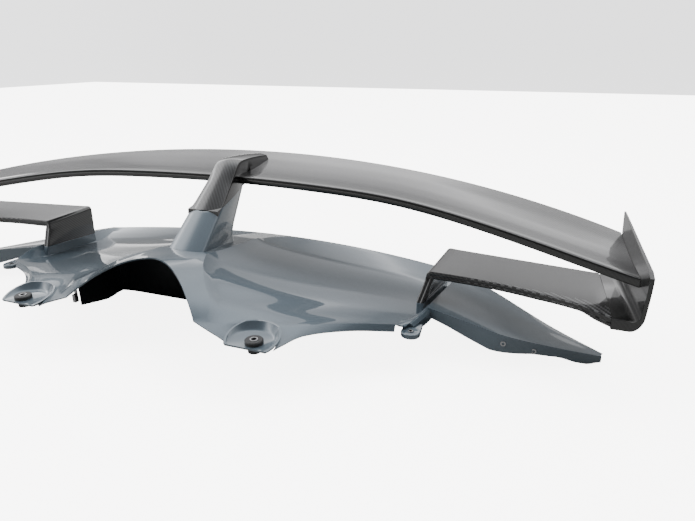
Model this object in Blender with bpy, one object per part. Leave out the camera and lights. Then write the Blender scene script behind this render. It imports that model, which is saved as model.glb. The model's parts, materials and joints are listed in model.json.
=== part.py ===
"""Full-width rear wing for a track car: painted base panel, central pylon, carbon wing, winglets, endplates.

Metres, +Z up. +X is across the car, -Y is the side that faces the rear window, Z = 0 is the ground.
The assembly is symmetric about X = 0; side pieces are made for the +X side and mirrored.
"""
import math

import bpy
import bmesh
from mathutils import Vector
from mathutils.bvhtree import BVHTree

# ---- driving dimensions -------------------------------------------------------------------
GAP = 0.0003                 # clearance between touching pieces
SKIN = 0.0025                # wall of a carbon skin
PANEL = 0.003                # wall of the painted panel

WING_ROOT_NOSE = (0.076, 0.281)       # Y, Z of the nose on the centre line
WING_ROOT_TAIL = (0.296, 0.309)       # Y, Z of the trailing edge on the centre line
NOSE_SWEEP = 0.17                     # forward sweep of the nose, m per m squared
TAIL_SWEEP = 0.22
NOSE_RISE = 0.0042                       # the nose line stands this much fuller halfway out
TAIL_HALF = 0.0015
ENDPLATE_X = 0.8756                   # outer face of the endplate at Y = 0
ENDPLATE_TOE = 0.10                   # the endplate closes in by this much per metre of Y
ENDPLATE_WALL = 0.006

ARCH_HALF = 0.147                     # half width of the arch in the front of the base
ARCH_TOP = (-0.204, 0.180)            # Y, Z of the arch's edge on the centre line
ARCH_FOOT = (-0.298, 0.112)           # Y, Z of its foot
DECK_REAR_Y = 0.316
DECK_REAR_SWEEP = 0.25

PYLON_FOOT_Y = -0.118
PYLON_FOOT_Z = 0.1665
PLINTH_SLOPE = -0.19                  # the deck under the pylon falls rearward
PLINTH_REAR_Y = 0.150
PYLON_LEAN = 1.26                     # run of the front face per metre of height
PYLON_REAR_Y = 0.066                  # at the height of the foot
PYLON_REAR_LEAN = 0.55
SEAM_FRONT = (-0.030, 0.233)          # Y, Z of the joint of pylon and cap, at the front
SEAM_SLOPE = 0.19
CAP_TOP_Z = 0.326
CAP_REAR_Y = 0.238

WINGLET_Z = 0.146                     # top face of the winglet at its inner end

TAB_CENTRE = (0.267, -0.295)
TAB_PLATE_Z = 0.090                   # top of the tab's flat plate
TAB_CUP_RADIUS = 0.053
TAB_CUP_SHIFT = 0.007                    # the cup is this far inward of its hole
BUSH_RADIUS = 0.0165
BUSH_HOLE = 0.0075
BUSH_FOOT_Z = 0.0735
LUG_CENTRE = (0.503, -0.130)
LUG_Z = 0.0745
LUG_RADIUS = 0.018


# ---- materials ----------------------------------------------------------------------------
def material(name, colour, roughness, metallic=0.0):
    made = bpy.data.materials.new(name)
    made.use_nodes = True
    shader = made.node_tree.nodes["Principled BSDF"]
    shader.inputs["Base Color"].default_value = (*colour, 1.0)
    shader.inputs["Roughness"].default_value = roughness
    shader.inputs["Metallic"].default_value = metallic
    return made


def make_materials():
    return {
        "paint": material("blue_grey_paint", (0.16, 0.20, 0.24), 0.15),
        "carbon": material("carbon_twill", (0.03, 0.03, 0.032), 0.25),
        "inner": material("black_moulding", (0.015, 0.015, 0.018), 0.5),
        "rubber": material("black_rubber", (0.02, 0.02, 0.02), 0.75),
        "steel": material("zinc_steel", (0.55, 0.55, 0.56), 0.35, 1.0),
        "aluminium": material("aluminium", (0.70, 0.70, 0.72), 0.4, 1.0),
        "foam": material("structural_foam", (0.60, 0.52, 0.38), 0.9),
    }


# ---- mesh helpers -------------------------------------------------------------------------
def add_object(name, mesh, look):
    mesh.materials.append(look)
    made = bpy.data.objects.new(name, mesh)
    bpy.context.scene.collection.objects.link(made)
    return made


def finish_mesh(name, work, smooth_angle=35):
    bmesh.ops.recalc_face_normals(work, faces=work.faces)
    mesh = bpy.data.meshes.new(name)
    work.to_mesh(mesh)
    work.free()
    mesh.shade_smooth()
    mesh.set_sharp_from_angle(angle=math.radians(smooth_angle))
    return mesh


def loft(name, loops, look, mirrored=False):
    """A closed solid through closed loops that have the same number of points."""
    side = -1.0 if mirrored else 1.0
    work = bmesh.new()
    rings = [[work.verts.new((side * x, y, z)) for x, y, z in loop] for loop in loops]
    for first, second in zip(rings, rings[1:]):
        for i in range(len(first)):
            j = (i + 1) % len(first)
            work.faces.new((first[i], first[j], second[j], second[i]))
    work.faces.new(reversed(rings[0]))
    work.faces.new(rings[-1])
    return add_object(name, finish_mesh(name, work), look)


def turned(name, centre, profile, look, steps=24, axis="Z", mirrored=False):
    """A closed ring turned about an axis through centre; the profile holds (radius, height) points."""
    side = -1.0 if mirrored else 1.0
    work = bmesh.new()
    rings = []
    for i in range(steps):
        angle = 2 * math.pi * i / steps
        ring = []
        for radius, height in profile:
            across = radius * math.cos(angle)
            along = radius * math.sin(angle)
            local = {"Z": (across, along, height), "Y": (across, height, along)}[axis]
            point = Vector(centre) + Vector(local)
            ring.append(work.verts.new((side * point.x, point.y, point.z)))
        rings.append(ring)
    for i in range(steps):
        first = rings[i]
        second = rings[(i + 1) % steps]
        for j in range(len(profile)):
            k = (j + 1) % len(profile)
            work.faces.new((first[j], first[k], second[k], second[j]))
    return add_object(name, finish_mesh(name, work), look)


def turned_solid(name, centre, profile, look, steps=16, axis="Z", mirrored=False):
    """A solid turned about an axis: a closed loop is made at each (radius, height) and lofted."""
    loops = []
    for radius, height in profile:
        loop = []
        for i in range(steps):
            angle = 2 * math.pi * (i + 0.5) / steps
            across = radius * math.cos(angle)
            along = radius * math.sin(angle)
            local = {"Z": (across, along, height), "Y": (across, height, along)}[axis]
            loop.append(tuple(Vector(centre) + Vector(local)))
        loops.append(loop)
    return loft(name, loops, look, mirrored)


def box_loops(low, high):
    """The lower and the upper rectangle of a box, as loft loops."""
    return [[(low[0], low[1], z), (high[0], low[1], z), (high[0], high[1], z), (low[0], high[1], z)]
            for z in (low[2], high[2])]


def spline(points, count):
    """count points along a Catmull-Rom curve through the given ones, evenly spaced."""
    known = [Vector(p) for p in points]
    dense = []
    for i in range(len(known) - 1):
        before = known[max(i - 1, 0)]
        after = known[min(i + 2, len(known) - 1)]
        for step in range(16):
            t = step / 16
            a = 2 * known[i]
            b = (known[i + 1] - before) * t
            c = (2 * before - 5 * known[i] + 4 * known[i + 1] - after) * t ** 2
            d = (3 * known[i] - before - 3 * known[i + 1] + after) * t ** 3
            dense.append((a + b + c + d) / 2)
    dense.append(known[-1])
    return even(dense, count)


def even(dense, count):
    """count points evenly spaced along a polyline."""
    lengths = [0.0]
    for first, second in zip(dense, dense[1:]):
        lengths.append(lengths[-1] + (second - first).length)
    result = []
    j = 0
    for i in range(count):
        target = lengths[-1] * i / (count - 1)
        while j < len(dense) - 2 and lengths[j + 1] < target:
            j += 1
        span = max(lengths[j + 1] - lengths[j], 1e-9)
        result.append(dense[j].lerp(dense[j + 1], min(max((target - lengths[j]) / span, 0.0), 1.0)))
    return result


def interpolate(pairs, value):
    """Straight-line interpolation in a short list of (value, result)."""
    for (a, first), (b, second) in zip(pairs, pairs[1:]):
        if value <= b:
            t = min(max((value - a) / (b - a), 0.0), 1.0)
            return first + (second - first) * t
    return pairs[-1][1]


def coons(front, rear, inner, outer):
    """A grid of points that fills four boundary curves; grid[j][i], j front to rear, i inner to outer."""
    across = len(front)
    along = len(inner)
    grid = []
    for j in range(along):
        v = j / (along - 1)
        row = []
        for i in range(across):
            u = i / (across - 1)
            ruled = inner[j] * (1 - u) + outer[j] * u + front[i] * (1 - v) + rear[i] * v
            corners = ((front[0] * (1 - u) + front[-1] * u) * (1 - v)
                       + (rear[0] * (1 - u) + rear[-1] * u) * v)
            row.append(ruled - corners)
        grid.append(row)
    return grid


def boolean(target, tool, operation):
    modifier = target.modifiers.new(operation.lower(), "BOOLEAN")
    modifier.object = tool
    modifier.operation = operation
    tool.hide_render = True
    tool.display_type = "WIRE"
    return modifier


def apply_modifiers(target):
    """Replaces the mesh by its evaluated form, and removes the tools that its Booleans used."""
    tools = [m.object for m in target.modifiers if m.type == "BOOLEAN"]
    evaluated = target.evaluated_get(bpy.context.evaluated_depsgraph_get())
    mesh = bpy.data.meshes.new_from_object(evaluated)
    target.modifiers.clear()
    target.data = mesh
    clean(mesh)
    for tool in tools:
        bpy.data.objects.remove(tool)


def clean(mesh):
    """Welds points closer than a hundredth of a millimetre and removes faces without area."""
    work = bmesh.new()
    work.from_mesh(mesh)
    bmesh.ops.remove_doubles(work, verts=work.verts, dist=0.00001)
    bmesh.ops.dissolve_degenerate(work, edges=work.edges, dist=0.00001)
    work.to_mesh(mesh)
    work.free()


# ---- wing ---------------------------------------------------------------------------------
TOP_LINE = [(0.0, 0.0062), (0.008, 0.0068), (0.03, 0.0070), (0.12, 0.0055), (0.30, 0.0022), (0.50, 0.0004),
            (0.70, 0.0000), (0.88, 0.0008), (1.0, TAIL_HALF)]
BELLY_LINE = [(0.0, -0.0078), (0.008, -0.0094), (0.03, -0.0114), (0.12, -0.0155), (0.30, -0.0190),
              (0.50, -0.0160), (0.70, -0.0105), (0.88, -0.0048), (1.0, -TAIL_HALF)]
CHORD_STEPS = [0.0, 0.008, 0.03, 0.12, 0.22, 0.34, 0.48, 0.62, 0.76, 0.88, 0.95, 1.0]


def nose_of(x):
    drop = 0.0616 * x ** 2 + 0.1622 * x ** 4 - 0.1279 * x ** 6
    drop -= NOSE_RISE * math.exp(-((abs(x) - 0.42) / 0.17) ** 2)
    return WING_ROOT_NOSE[0] - NOSE_SWEEP * x ** 2, WING_ROOT_NOSE[1] - drop


def tail_of(x):
    drop = 0.0963 * x ** 2 + 0.0202 * x ** 4 + 0.0064 * x ** 6
    return WING_ROOT_TAIL[0] - TAIL_SWEEP * x ** 2, WING_ROOT_TAIL[1] - drop


def wing_point(u, chordwise, lift):
    """A point of the wing: u is -1 to 1 along the span, chordwise 0 to 1, lift is metres off the chord."""
    x = u * ENDPLATE_X
    for _ in range(3):
        nose = nose_of(x)
        tail = tail_of(x)
        y = nose[0] + (tail[0] - nose[0]) * chordwise
        x = u * (ENDPLATE_X - ENDPLATE_TOE * y - ENDPLATE_WALL - GAP)
    z = nose[1] + (tail[1] - nose[1]) * chordwise + lift
    return (x, y, z)


def middle_of(s):
    return (interpolate(TOP_LINE, s) + interpolate(BELLY_LINE, s)) / 2


def wing_skin_loop(u, upper):
    """The closed outline of one skin at one span station."""
    line = TOP_LINE if upper else BELLY_LINE
    sign = 1 if upper else -1
    loop = [wing_point(u, 0.0, middle_of(0.0) + sign * GAP / 2)]
    for s in CHORD_STEPS:
        loop.append(wing_point(u, s, interpolate(line, s)))
    inner_steps = [s for s in reversed(CHORD_STEPS) if s >= 0.03]
    inner_steps[-1] = 0.016
    for s in inner_steps:
        wall = interpolate(line, s) - sign * SKIN
        seam = middle_of(s) + sign * GAP / 2
        loop.append(wing_point(u, s, max(wall, seam) if upper else min(wall, seam)))
    loop.append(wing_point(u, 0.016, middle_of(0.0) + sign * GAP / 2))
    return loop


def make_wing(looks):
    stations = [-1 + 2 * i / 28 for i in range(29)]
    loft("wing_upper_skin", [wing_skin_loop(u, True) for u in stations], looks["carbon"])
    loft("wing_lower_skin", [wing_skin_loop(u, False) for u in stations], looks["carbon"])
    make_wing_inside(looks)


def spar_loop(u, first, last):
    """The rectangle between the skins from chord fraction first to last."""
    loop = []
    for s, line, sign in ((first, TOP_LINE, 1), (last, TOP_LINE, 1),
                          (last, BELLY_LINE, -1), (first, BELLY_LINE, -1)):
        loop.append(wing_point(u, s, interpolate(line, s) - sign * (SKIN + 4 * GAP)))
    return loop


def make_wing_inside(looks):
    spar_u = [-0.93 + 1.86 * i / 24 for i in range(25)]
    loft("wing_spar", [spar_loop(u, 0.24, 0.40) for u in spar_u], looks["foam"])
    for side, mirrored in (("right", False), ("left", True)):
        loft("wing_rib_" + side, [spar_loop(u, 0.42, 0.74) for u in (0.060, 0.068)], looks["aluminium"],
             mirrored)
    loft("tip_block_right", [spar_loop(u, 0.22, 0.66) for u in (0.950, 0.975, 0.999)], looks["aluminium"])


# ---- pylon and cap ------------------------------------------------------------------------
def pylon_front(z):
    return PYLON_FOOT_Y + PYLON_LEAN * (z - PYLON_FOOT_Z)


def pylon_rear(z):
    """Y of the pylon's rear face, which leans rearward, and half the width there."""
    return PYLON_REAR_Y + PYLON_REAR_LEAN * (z - 0.155), 0.012 + 0.09 * max(z - 0.155, 0.0)


def pylon_loop(z, inset=0.0):
    """A level cut through the pylon: bulged front, flat sides that close in, rounded rear."""
    half = interpolate([(0.10, 0.050), (0.165, 0.044), (0.233, 0.038), (0.311, 0.030), (0.34, 0.028)],
                       z) - inset
    flare = interpolate([(0.10, 0.030), (0.128, 0.016), (0.15, 0.004), (0.18, 0.0), (0.34, 0.0)], z)
    rear_y, rear_half = pylon_rear(z)
    rear_half += 0.4 * flare - inset * 0.6
    front = pylon_front(z) + inset
    rear = rear_y + flare - inset
    bulge = 0.014
    right = []
    for i in range(5):
        a = i / 4
        right.append((half * a * 0.94, front + bulge * a ** 2))
    right.append((half, front + bulge + 0.006))
    for i in (1, 2, 3):
        t = i / 4
        start = front + bulge + 0.006
        end = rear - rear_half
        width = half + (rear_half - half) * t + 0.003 * math.sin(math.pi * t)
        right.append((width, start + (end - start) * t))
    for i in range(5):
        angle = math.pi / 2 * i / 4
        right.append((rear_half * math.cos(angle), rear - rear_half + rear_half * math.sin(angle)))
    left = [(-x, y) for x, y in reversed(right[1:-1])]
    return [(x, y, z) for x, y in right + left]


def slab(name, front_z, slope, above, looks):
    """A large block whose lower or upper face is the plane z = front_z + slope * (y - front y)."""
    def plane(y, base):
        return base + slope * y
    loops = []
    for y in (-0.4, 0.4):
        z = plane(y, front_z)
        far = z + (0.5 if above else -0.5)
        loops.append([(-0.2, y, z), (0.2, y, z), (0.2, y, far), (-0.2, y, far)])
    return loft(name, loops, looks["inner"])


def seam_height(y):
    return SEAM_FRONT[1] + SEAM_SLOPE * (y - SEAM_FRONT[0])


def plinth_height(y):
    return PYLON_FOOT_Z + PLINTH_SLOPE * (y - PYLON_FOOT_Y)


def make_pylon(looks):
    heights = [0.105, 0.128, 0.15, 0.18, 0.21, 0.233, 0.26, 0.285]
    shell = loft("pylon_lower_shell", [pylon_loop(z) for z in heights], looks["paint"])
    hollow = loft("pylon_hollow", [pylon_loop(z, 0.0035) for z in (0.09, 0.128, 0.15, 0.18, 0.233, 0.30)],
                  looks["paint"])
    boolean(shell, hollow, "DIFFERENCE")
    boolean(shell, slab("above_seam", seam_height(0) - GAP / 2, SEAM_SLOPE, True, looks), "DIFFERENCE")
    boolean(shell, slab("below_plinth", plinth_height(0) + GAP, PLINTH_SLOPE, False, looks), "DIFFERENCE")
    apply_modifiers(shell)


def side_half(y):
    """Half width of the pylon's flank at y, level with the joint of pylon and cap."""
    height = seam_height(y)
    start = pylon_front(height) + 0.020
    rear, rear_half = pylon_rear(height)
    t = min(max((y - start) / (rear - rear_half - start), 0.0), 1.0)
    return 0.038 + (rear_half - 0.038) * t + 0.003 * math.sin(math.pi * t)


def cap_top(y):
    """Height of the cap's crest at y: the leaning front face, then a rounded bend, then the tail."""
    front = PYLON_FOOT_Z + (y - PYLON_FOOT_Y) / PYLON_LEAN
    crest = CAP_TOP_Z - 0.5 * max(y - 0.09, 0.0) ** 2
    soft = 0.006
    return -soft * math.log(math.exp(-front / soft) + math.exp(-crest / soft))


CAP_FLOOR = [(0.118, 0.20), (0.122, 0.262), (0.130, 0.272), (0.134, 0.290), (0.30, 0.300)]
CAP_HOLLOW_FLOOR = [(0.109, 0.195), (0.1145, 0.275), (0.134, 0.278), (0.30, 0.288)]


def cap_loop(y, inset=0.0):
    """An upright cut through the cap at y: crowned top, rounded shoulders, flanks down to the joint."""
    top = cap_top(y) - inset * 1.2
    half = interpolate([(-0.05, 0.040), (0.0, 0.037), (0.06, 0.031), (0.12, 0.028), (0.24, 0.024)],
                       y) - inset
    crown = interpolate([(-0.05, 0.0115), (0.03, 0.0115), (0.09, 0.004), (0.24, 0.003)], y)
    floor = interpolate(CAP_HOLLOW_FLOOR if inset else CAP_FLOOR, y)
    low_half = (half + 0.002) if y > 0.13 else side_half(y) - inset
    radius = 0.008
    right = [(half * 0.94 * i / 4, top - crown * (i / 4) ** 2) for i in range(5)]
    shoulder = top - crown - 0.001
    for i in range(1, 4):
        angle = math.pi / 2 * (1 - i / 3)
        right.append((half * 0.94 + (half * 0.06) * math.cos(angle),
                      shoulder - radius + radius * math.sin(angle)))
    right.append((low_half, floor))
    left = [(-x, z) for x, z in reversed(right[1:])]
    return [(x, y, z) for x, z in right + left]


def wing_cutter(looks):
    """The wing's outer shape at the pylon, larger all round by the gap."""
    loops = []
    for step in range(-2, 3):
        u = step / 14
        loop = []
        for s in CHORD_STEPS:
            loop.append(wing_point(u, s, interpolate(TOP_LINE, s) + GAP))
        for s in reversed(CHORD_STEPS):
            loop.append(wing_point(u, s, interpolate(BELLY_LINE, s) - GAP))
        nose_top = loop[0]
        nose_low = loop[-1]
        loop[0] = (nose_top[0], nose_top[1] - GAP, nose_top[2])
        loop[-1] = (nose_low[0], nose_low[1] - GAP, nose_low[2])
        loops.append(loop)
    return loft("wing_space", loops, looks["inner"])


def make_cap(looks):
    stations = [-0.045, -0.02, 0.005, 0.03, 0.05, 0.065, 0.08, 0.10, 0.118, 0.122, 0.130, 0.134, 0.17,
                0.205]
    loops = [cap_loop(y) for y in stations]
    tail = [(x, CAP_REAR_Y - 0.55 * (z - 0.30), z) for x, _, z in cap_loop(0.232)]
    cap = loft("pylon_cap", loops + [tail], looks["carbon"])
    inner = [cap_loop(y, 0.003) for y in (-0.045, -0.02, 0.01, 0.04, 0.06, 0.08, 0.10, 0.109, 0.1145,
                                          0.134, 0.22)]
    boolean(cap, loft("cap_hollow", inner, looks["inner"]), "DIFFERENCE")
    boolean(cap, wing_cutter(looks), "DIFFERENCE")
    boolean(cap, slab("below_seam", seam_height(0) + GAP / 2, SEAM_SLOPE, False, looks), "DIFFERENCE")
    apply_modifiers(cap)


# ---- base panel ---------------------------------------------------------------------------
SPINE = [(0.169, -0.287, 0.110), (0.158, -0.255, 0.129), (0.128, -0.221, 0.145), (0.104, -0.192, 0.159),
         (0.083, -0.164, 0.165), (0.060, -0.118, 0.1665)]
SPINE_BACK = [(0.060, -0.118, 0.1665), (0.056, -0.04, 0.1517), (0.044, 0.04, 0.1365), (0.036, 0.11, 0.1232),
              (0.028, 0.21, 0.097), (0.024, DECK_REAR_Y, 0.070)]
DECK_OUTER = [(0.475, -0.134, 0.085), (0.486, -0.07, 0.070), (0.490, -0.03, 0.062), (0.502, 0.06, 0.052),
              (0.508, 0.152, 0.042), (0.510, 0.20, 0.046), (0.515, 0.250, 0.055)]
PANEL_INNER = [(0.492, -0.128, 0.081), (0.510, -0.07, 0.086), (0.516, -0.03, 0.087), (0.524, 0.06, 0.078),
               (0.530, 0.152, 0.066), (0.530, 0.20, 0.061), (0.530, 0.246, 0.055)]
FRONT_CREASE = [(0.169, -0.287, 0.110), (0.22, -0.262, 0.104), (0.30, -0.234, 0.100), (0.39, -0.174, 0.091),
                (0.475, -0.134, 0.085)]
FRONT_EDGE = [(ARCH_HALF, ARCH_FOOT[0], ARCH_FOOT[1]), (0.19, -0.303, 0.098), (0.225, -0.304, 0.085),
              (0.262, -0.302, 0.084), (0.300, -0.296, 0.083), (0.335, -0.235, 0.086), (0.40, -0.180, 0.080),
              (0.475, -0.142, 0.073)]
RIDGE = [(0.60, -0.066, 0.078), (0.669, -0.074, 0.067), (0.75, -0.045, 0.045), (0.843, 0.006, 0.015)]
RIDGE_SKIRT = [(0.510, 0.070), (0.56, 0.058), (0.60, 0.045), (0.645, 0.032), (0.72, 0.030), (0.77, 0.020),
               (0.80, 0.006), (0.82, 0.0), (0.87, 0.0)]
REAR_SKIRT = [(0.0, 0.045), (0.45, 0.030), (0.60, 0.020), (0.70, 0.003), (0.73, 0.0), (0.90, 0.0)]
WEB_START_X = 0.560                   # inward of this the web is part of the gusset
SPINE_STEPS = 8
BACK_STEPS = 10
ACROSS = 10
STRIP_STEPS = 3
PANEL_ACROSS = 9


def arch_edge(t):
    """The arch's edge: t is 0 on the centre line and 1 at the foot."""
    y = ARCH_TOP[0] + (ARCH_FOOT[0] - ARCH_TOP[0]) * t ** 1.5
    z = ARCH_TOP[1] + (ARCH_FOOT[1] - ARCH_TOP[1]) * t ** 2.3
    return Vector((ARCH_HALF * t, y, z))


def rear_edge(count):
    return [Vector((x, DECK_REAR_Y - DECK_REAR_SWEEP * x ** 2, 0.070 - 0.057 * x ** 2))
            for x in [0.024 + (0.515 - 0.024) * i / (count - 1) for i in range(count)]]


def deck_grids():
    """Point grids of the +X half of the top surface, edge to edge with one another."""
    inner = spline(SPINE, SPINE_STEPS + 1) + spline(SPINE_BACK, BACK_STEPS + 1)[1:]
    rows = len(inner)
    for point in inner[SPINE_STEPS:]:
        if point.y < PLINTH_REAR_Y:
            point.z = plinth_height(point.y)
    outer = spline(DECK_OUTER, rows)
    front = spline(FRONT_CREASE, ACROSS + 1)
    rear = rear_edge(ACROSS + 1)
    rear[0] = inner[-1]
    rear[-1] = outer[-1]
    deck = coons(front, rear, inner, outer)
    for j, row in enumerate(deck):
        along = math.sin(math.pi * min(max(j / (rows - 1), 0.0), 1.0)) ** 0.8
        for i, point in enumerate(row):
            u = i / ACROSS
            point.z -= 0.022 * along * math.sin(math.pi * u ** 0.55)
    panel_inner = spline(PANEL_INNER, rows)
    step = [[outer[j], panel_inner[j]] for j in range(rows)]

    start = min(range(rows), key=lambda j: abs(panel_inner[j].y + 0.045))
    edge = panel_inner[start:]
    ridge = spline([tuple(edge[0])] + RIDGE, PANEL_ACROSS + 1)
    tail_points = [tuple(edge[-1]), (0.625, 0.182, 0.043), (0.75, 0.108, 0.014), (0.850, 0.028, 0.010)]
    tail = spline(tail_points, PANEL_ACROSS + 1)
    tip = even([ridge[-1], tail[-1]], len(edge))
    outer_panel = coons(ridge, tail, edge, tip)

    centre = [Vector((0.06 * i / STRIP_STEPS, PYLON_FOOT_Y, PYLON_FOOT_Z)) for i in range(STRIP_STEPS + 1)]
    crease = centre[:-1] + list(reversed(spline(SPINE, SPINE_STEPS + 1)))
    strip = []
    for k, point in enumerate(crease):
        if k < STRIP_STEPS:
            t = 0.34 * k / STRIP_STEPS
        else:
            t = 0.34 + 0.66 * (k - STRIP_STEPS) / SPINE_STEPS
        edge_point = arch_edge(t)
        strip.append([edge_point.lerp(point, w / STRIP_STEPS) for w in range(STRIP_STEPS + 1)])
    back = [[Vector((p.x * i / STRIP_STEPS, p.y,
                     p.z)) for i in range(STRIP_STEPS + 1)] for p in inner[SPINE_STEPS:]]

    lower = spline(FRONT_EDGE, ACROSS + 1)
    flange = []
    for i in range(ACROSS + 1):
        flange.append([lower[i].lerp(front[i], w / STRIP_STEPS) for w in range(STRIP_STEPS + 1)])
    return {"deck": deck, "step": step, "outer_panel": outer_panel, "strip": strip, "back": back,
            "flange": flange}


def add_grid(work, grid, side):
    rows = [[work.verts.new((side * x, y, z)) for x, y, z in row] for row in grid]
    for first, second in zip(rows, rows[1:]):
        for i in range(len(first) - 1):
            work.faces.new((first[i], first[i + 1], second[i + 1], second[i]))


def on_arch(vert):
    if abs(vert.co.x) > ARCH_HALF + 1e-5:
        return False
    t = abs(vert.co.x) / ARCH_HALF
    return (vert.co - Vector((vert.co.x, *arch_edge(t)[1:]))).length < 1e-4


def drop_skirt(work):
    """Turns the free edges down: a short flange in front, the ridge's web, the rear flange, not the arch."""
    edges = []
    for edge in work.edges:
        if not edge.is_boundary:
            continue
        if all(on_arch(v) for v in edge.verts):
            continue
        if all(v.co.y < -0.13 and abs(v.co.x) < 0.4751 for v in edge.verts):
            continue
        if all(v.co.y < -0.046 and 0.474 < abs(v.co.x) < 0.516 for v in edge.verts):
            continue
        if all(v.co.y < -0.030 and 0.510 < abs(v.co.x) < WEB_START_X for v in edge.verts):
            continue
        if max(abs(v.co.x) for v in edge.verts) > 0.812:
            continue
        edges.append(edge)
    made = bmesh.ops.extrude_edge_only(work, edges=edges)
    for item in made["geom"]:
        if isinstance(item, bmesh.types.BMVert):
            x = abs(item.co.x)
            in_front = item.co.y < 0.02 and x < 0.86
            table = RIDGE_SKIRT if in_front and x > 0.50 else REAR_SKIRT
            if in_front and x <= 0.50:
                item.co.z -= 0.012
            else:
                item.co.z = min(interpolate(table, x), item.co.z - 0.008)
                item.co.z = max(item.co.z, 0.0)


def base_surface(looks):
    work = bmesh.new()
    for side in (1, -1):
        for grid in deck_grids().values():
            add_grid(work, grid, side)
    bmesh.ops.remove_doubles(work, verts=work.verts, dist=0.0001)
    drop_skirt(work)
    bmesh.ops.recalc_face_normals(work, faces=work.faces)
    up = sum(face.normal.z * face.calc_area() for face in work.faces)
    if up < 0:
        bmesh.ops.reverse_faces(work, faces=work.faces)
    mesh = bpy.data.meshes.new("base_panel")
    work.to_mesh(mesh)
    work.free()
    panel = add_object("base_panel", mesh, looks["paint"])
    solid = panel.modifiers.new("wall", "SOLIDIFY")
    solid.thickness = PANEL
    solid.offset = -1.0
    solid.use_even_offset = True
    solid.thickness_clamp = 1.2
    return panel


def tab_cup(name, looks):
    """The flat plate round a tab's hole and the flared wall behind it, cut level with the flange."""
    x, y = TAB_CENTRE
    wall = TAB_CUP_RADIUS
    profile = [(BUSH_BODY + GAP, TAB_PLATE_Z), (wall - 0.011, TAB_PLATE_Z), (wall, TAB_PLATE_Z + 0.0150),
               (wall + 0.0030, TAB_PLATE_Z + 0.0150), (wall - 0.0085, TAB_PLATE_Z - 0.0035),
               (BUSH_BODY + GAP, TAB_PLATE_Z - 0.0035)]
    cup = turned(name, (x - TAB_CUP_SHIFT, y, 0.0), profile, looks["paint"], steps=28)
    for vert in cup.data.vertices:
        if math.hypot(vert.co.x - x + TAB_CUP_SHIFT, vert.co.y - y) < BUSH_BODY + 2 * GAP:
            vert.co.x += TAB_CUP_SHIFT
    front = box_loops((x - 0.08, -0.40, 0.0), (x + 0.08, -DECK_REAR_Y, 0.2))
    boolean(cup, loft("tab_front_cut", front, looks["inner"]), "DIFFERENCE")
    top = slab("tab_top_cut", 0.107 + 0.235 * 0.245, 0.235, True, looks)
    top.location.x = x
    boolean(cup, top, "DIFFERENCE")
    bpy.context.view_layer.update()
    apply_modifiers(cup)
    return cup


def lug(name, looks):
    """The eye in front of a leg, with a neck that runs back under the step of the panel."""
    x, y = LUG_CENTRE
    loops = []
    for z in (LUG_Z - 0.009, LUG_Z):
        loop = [(x + 0.015, y + 0.034, z), (x - 0.012, y + 0.034, z), (x - LUG_RADIUS, y, z)]
        for i in range(1, 16):
            angle = math.pi + math.pi * i / 16
            loop.append((x + LUG_RADIUS * math.cos(angle), y + LUG_RADIUS * math.sin(angle), z))
        loop.append((x + LUG_RADIUS, y, z))
        loops.append(loop)
    return loft(name, loops, looks["paint"])


def gusset(name, looks):
    """The fill under the free edge of the step, between the lug and the ridge's web."""
    loops = []
    for outer, inner in deck_grids()["step"]:
        if -0.118 < inner.y < -0.028:
            middle = outer.lerp(inner, 0.30)
            y = inner.y
            loops.append([(middle.x, y, 0.058), (inner.x + 0.010, y, 0.063),
                          (inner.x + 0.009, y, inner.z - 0.0060), (inner.x + 0.003, y, inner.z - 0.0016),
                          (inner.x - 0.002, y, inner.z - 0.0016), (middle.x, y, middle.z - 0.0016)])
    return loft(name, loops, looks["paint"])


def web_start(name, looks):
    """The innermost part of the web below the ridge, from the gusset outward."""
    loops = []
    for x in (0.515, 0.535, 0.5535, WEB_START_X):
        point = ridge_point(x)
        low = interpolate(RIDGE_SKIRT, x) + 0.0005
        front = point.y + 0.0006
        loops.append([(x, front, low), (x, front + 0.0045, low), (x, front + 0.0045, point.z - 0.0018),
                      (x, front, point.z - 0.0016)])
    return loft(name, loops, looks["paint"])


def leg_outline(t):
    """Plan of a leg: t is 0 at the foot of the stub, 1 at the joint, 2 at the top of the leg."""
    rows = [((0.490, -0.042), (0.510, 0.153)), ((0.488, -0.031), (0.510, 0.150)), ((0.500, -0.004),
                                                                                   (0.512, 0.154))]
    i = min(int(t), 1)
    f = t - i
    front = [rows[i][0][k] + (rows[i + 1][0][k] - rows[i][0][k]) * f for k in (0, 1)]
    rear = [rows[i][1][k] + (rows[i + 1][1][k] - rows[i][1][k]) * f for k in (0, 1)]
    return front, rear


LEG_JOINT_Z = (0.087, 0.067)         # height of the joint of stub and leg, front and rear


def leg_stub(name, looks):
    """The painted foot under a winglet's leg, from inside the deck up to the joint."""
    loops = []
    for t, front_z, rear_z in ((0.0, 0.056, 0.038), (1.0, LEG_JOINT_Z[0] - GAP, LEG_JOINT_Z[1] - GAP)):
        front, rear = leg_outline(t)
        outline = []
        for s, across in ((0.0, 0.002), (0.0, 0.013), (0.015, 0.015), (0.97, 0.010), (1.0, 0.007), (1.0,
                                                                                                    0.001),
                          (0.985, 0.0), (0.015, 0.0)):
            x = front[0] + (rear[0] - front[0]) * s + across
            y = front[1] + (rear[1] - front[1]) * s
            outline.append((x, y, front_z + (rear_z - front_z) * s))
        loops.append(outline)
    return loft(name, loops, looks["paint"])


def toe(name, looks):
    """The solid toe at the outer end of an outer panel, which reaches the ground."""
    loops = []
    for x, front, rear, top_front, top_rear, low in ((0.796, -0.018, 0.067, 0.0285, 0.0100, 0.0060),
                                                     (0.822, -0.005, 0.046, 0.0205, 0.0085, 0.0),
                                                     (0.8465, 0.010, 0.027, 0.0120, 0.0080, 0.0)):
        loops.append([(x, front, low), (x, rear, low), (x, rear, top_rear), (x, front, top_front)])
    return loft(name, loops, looks["paint"])


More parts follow.
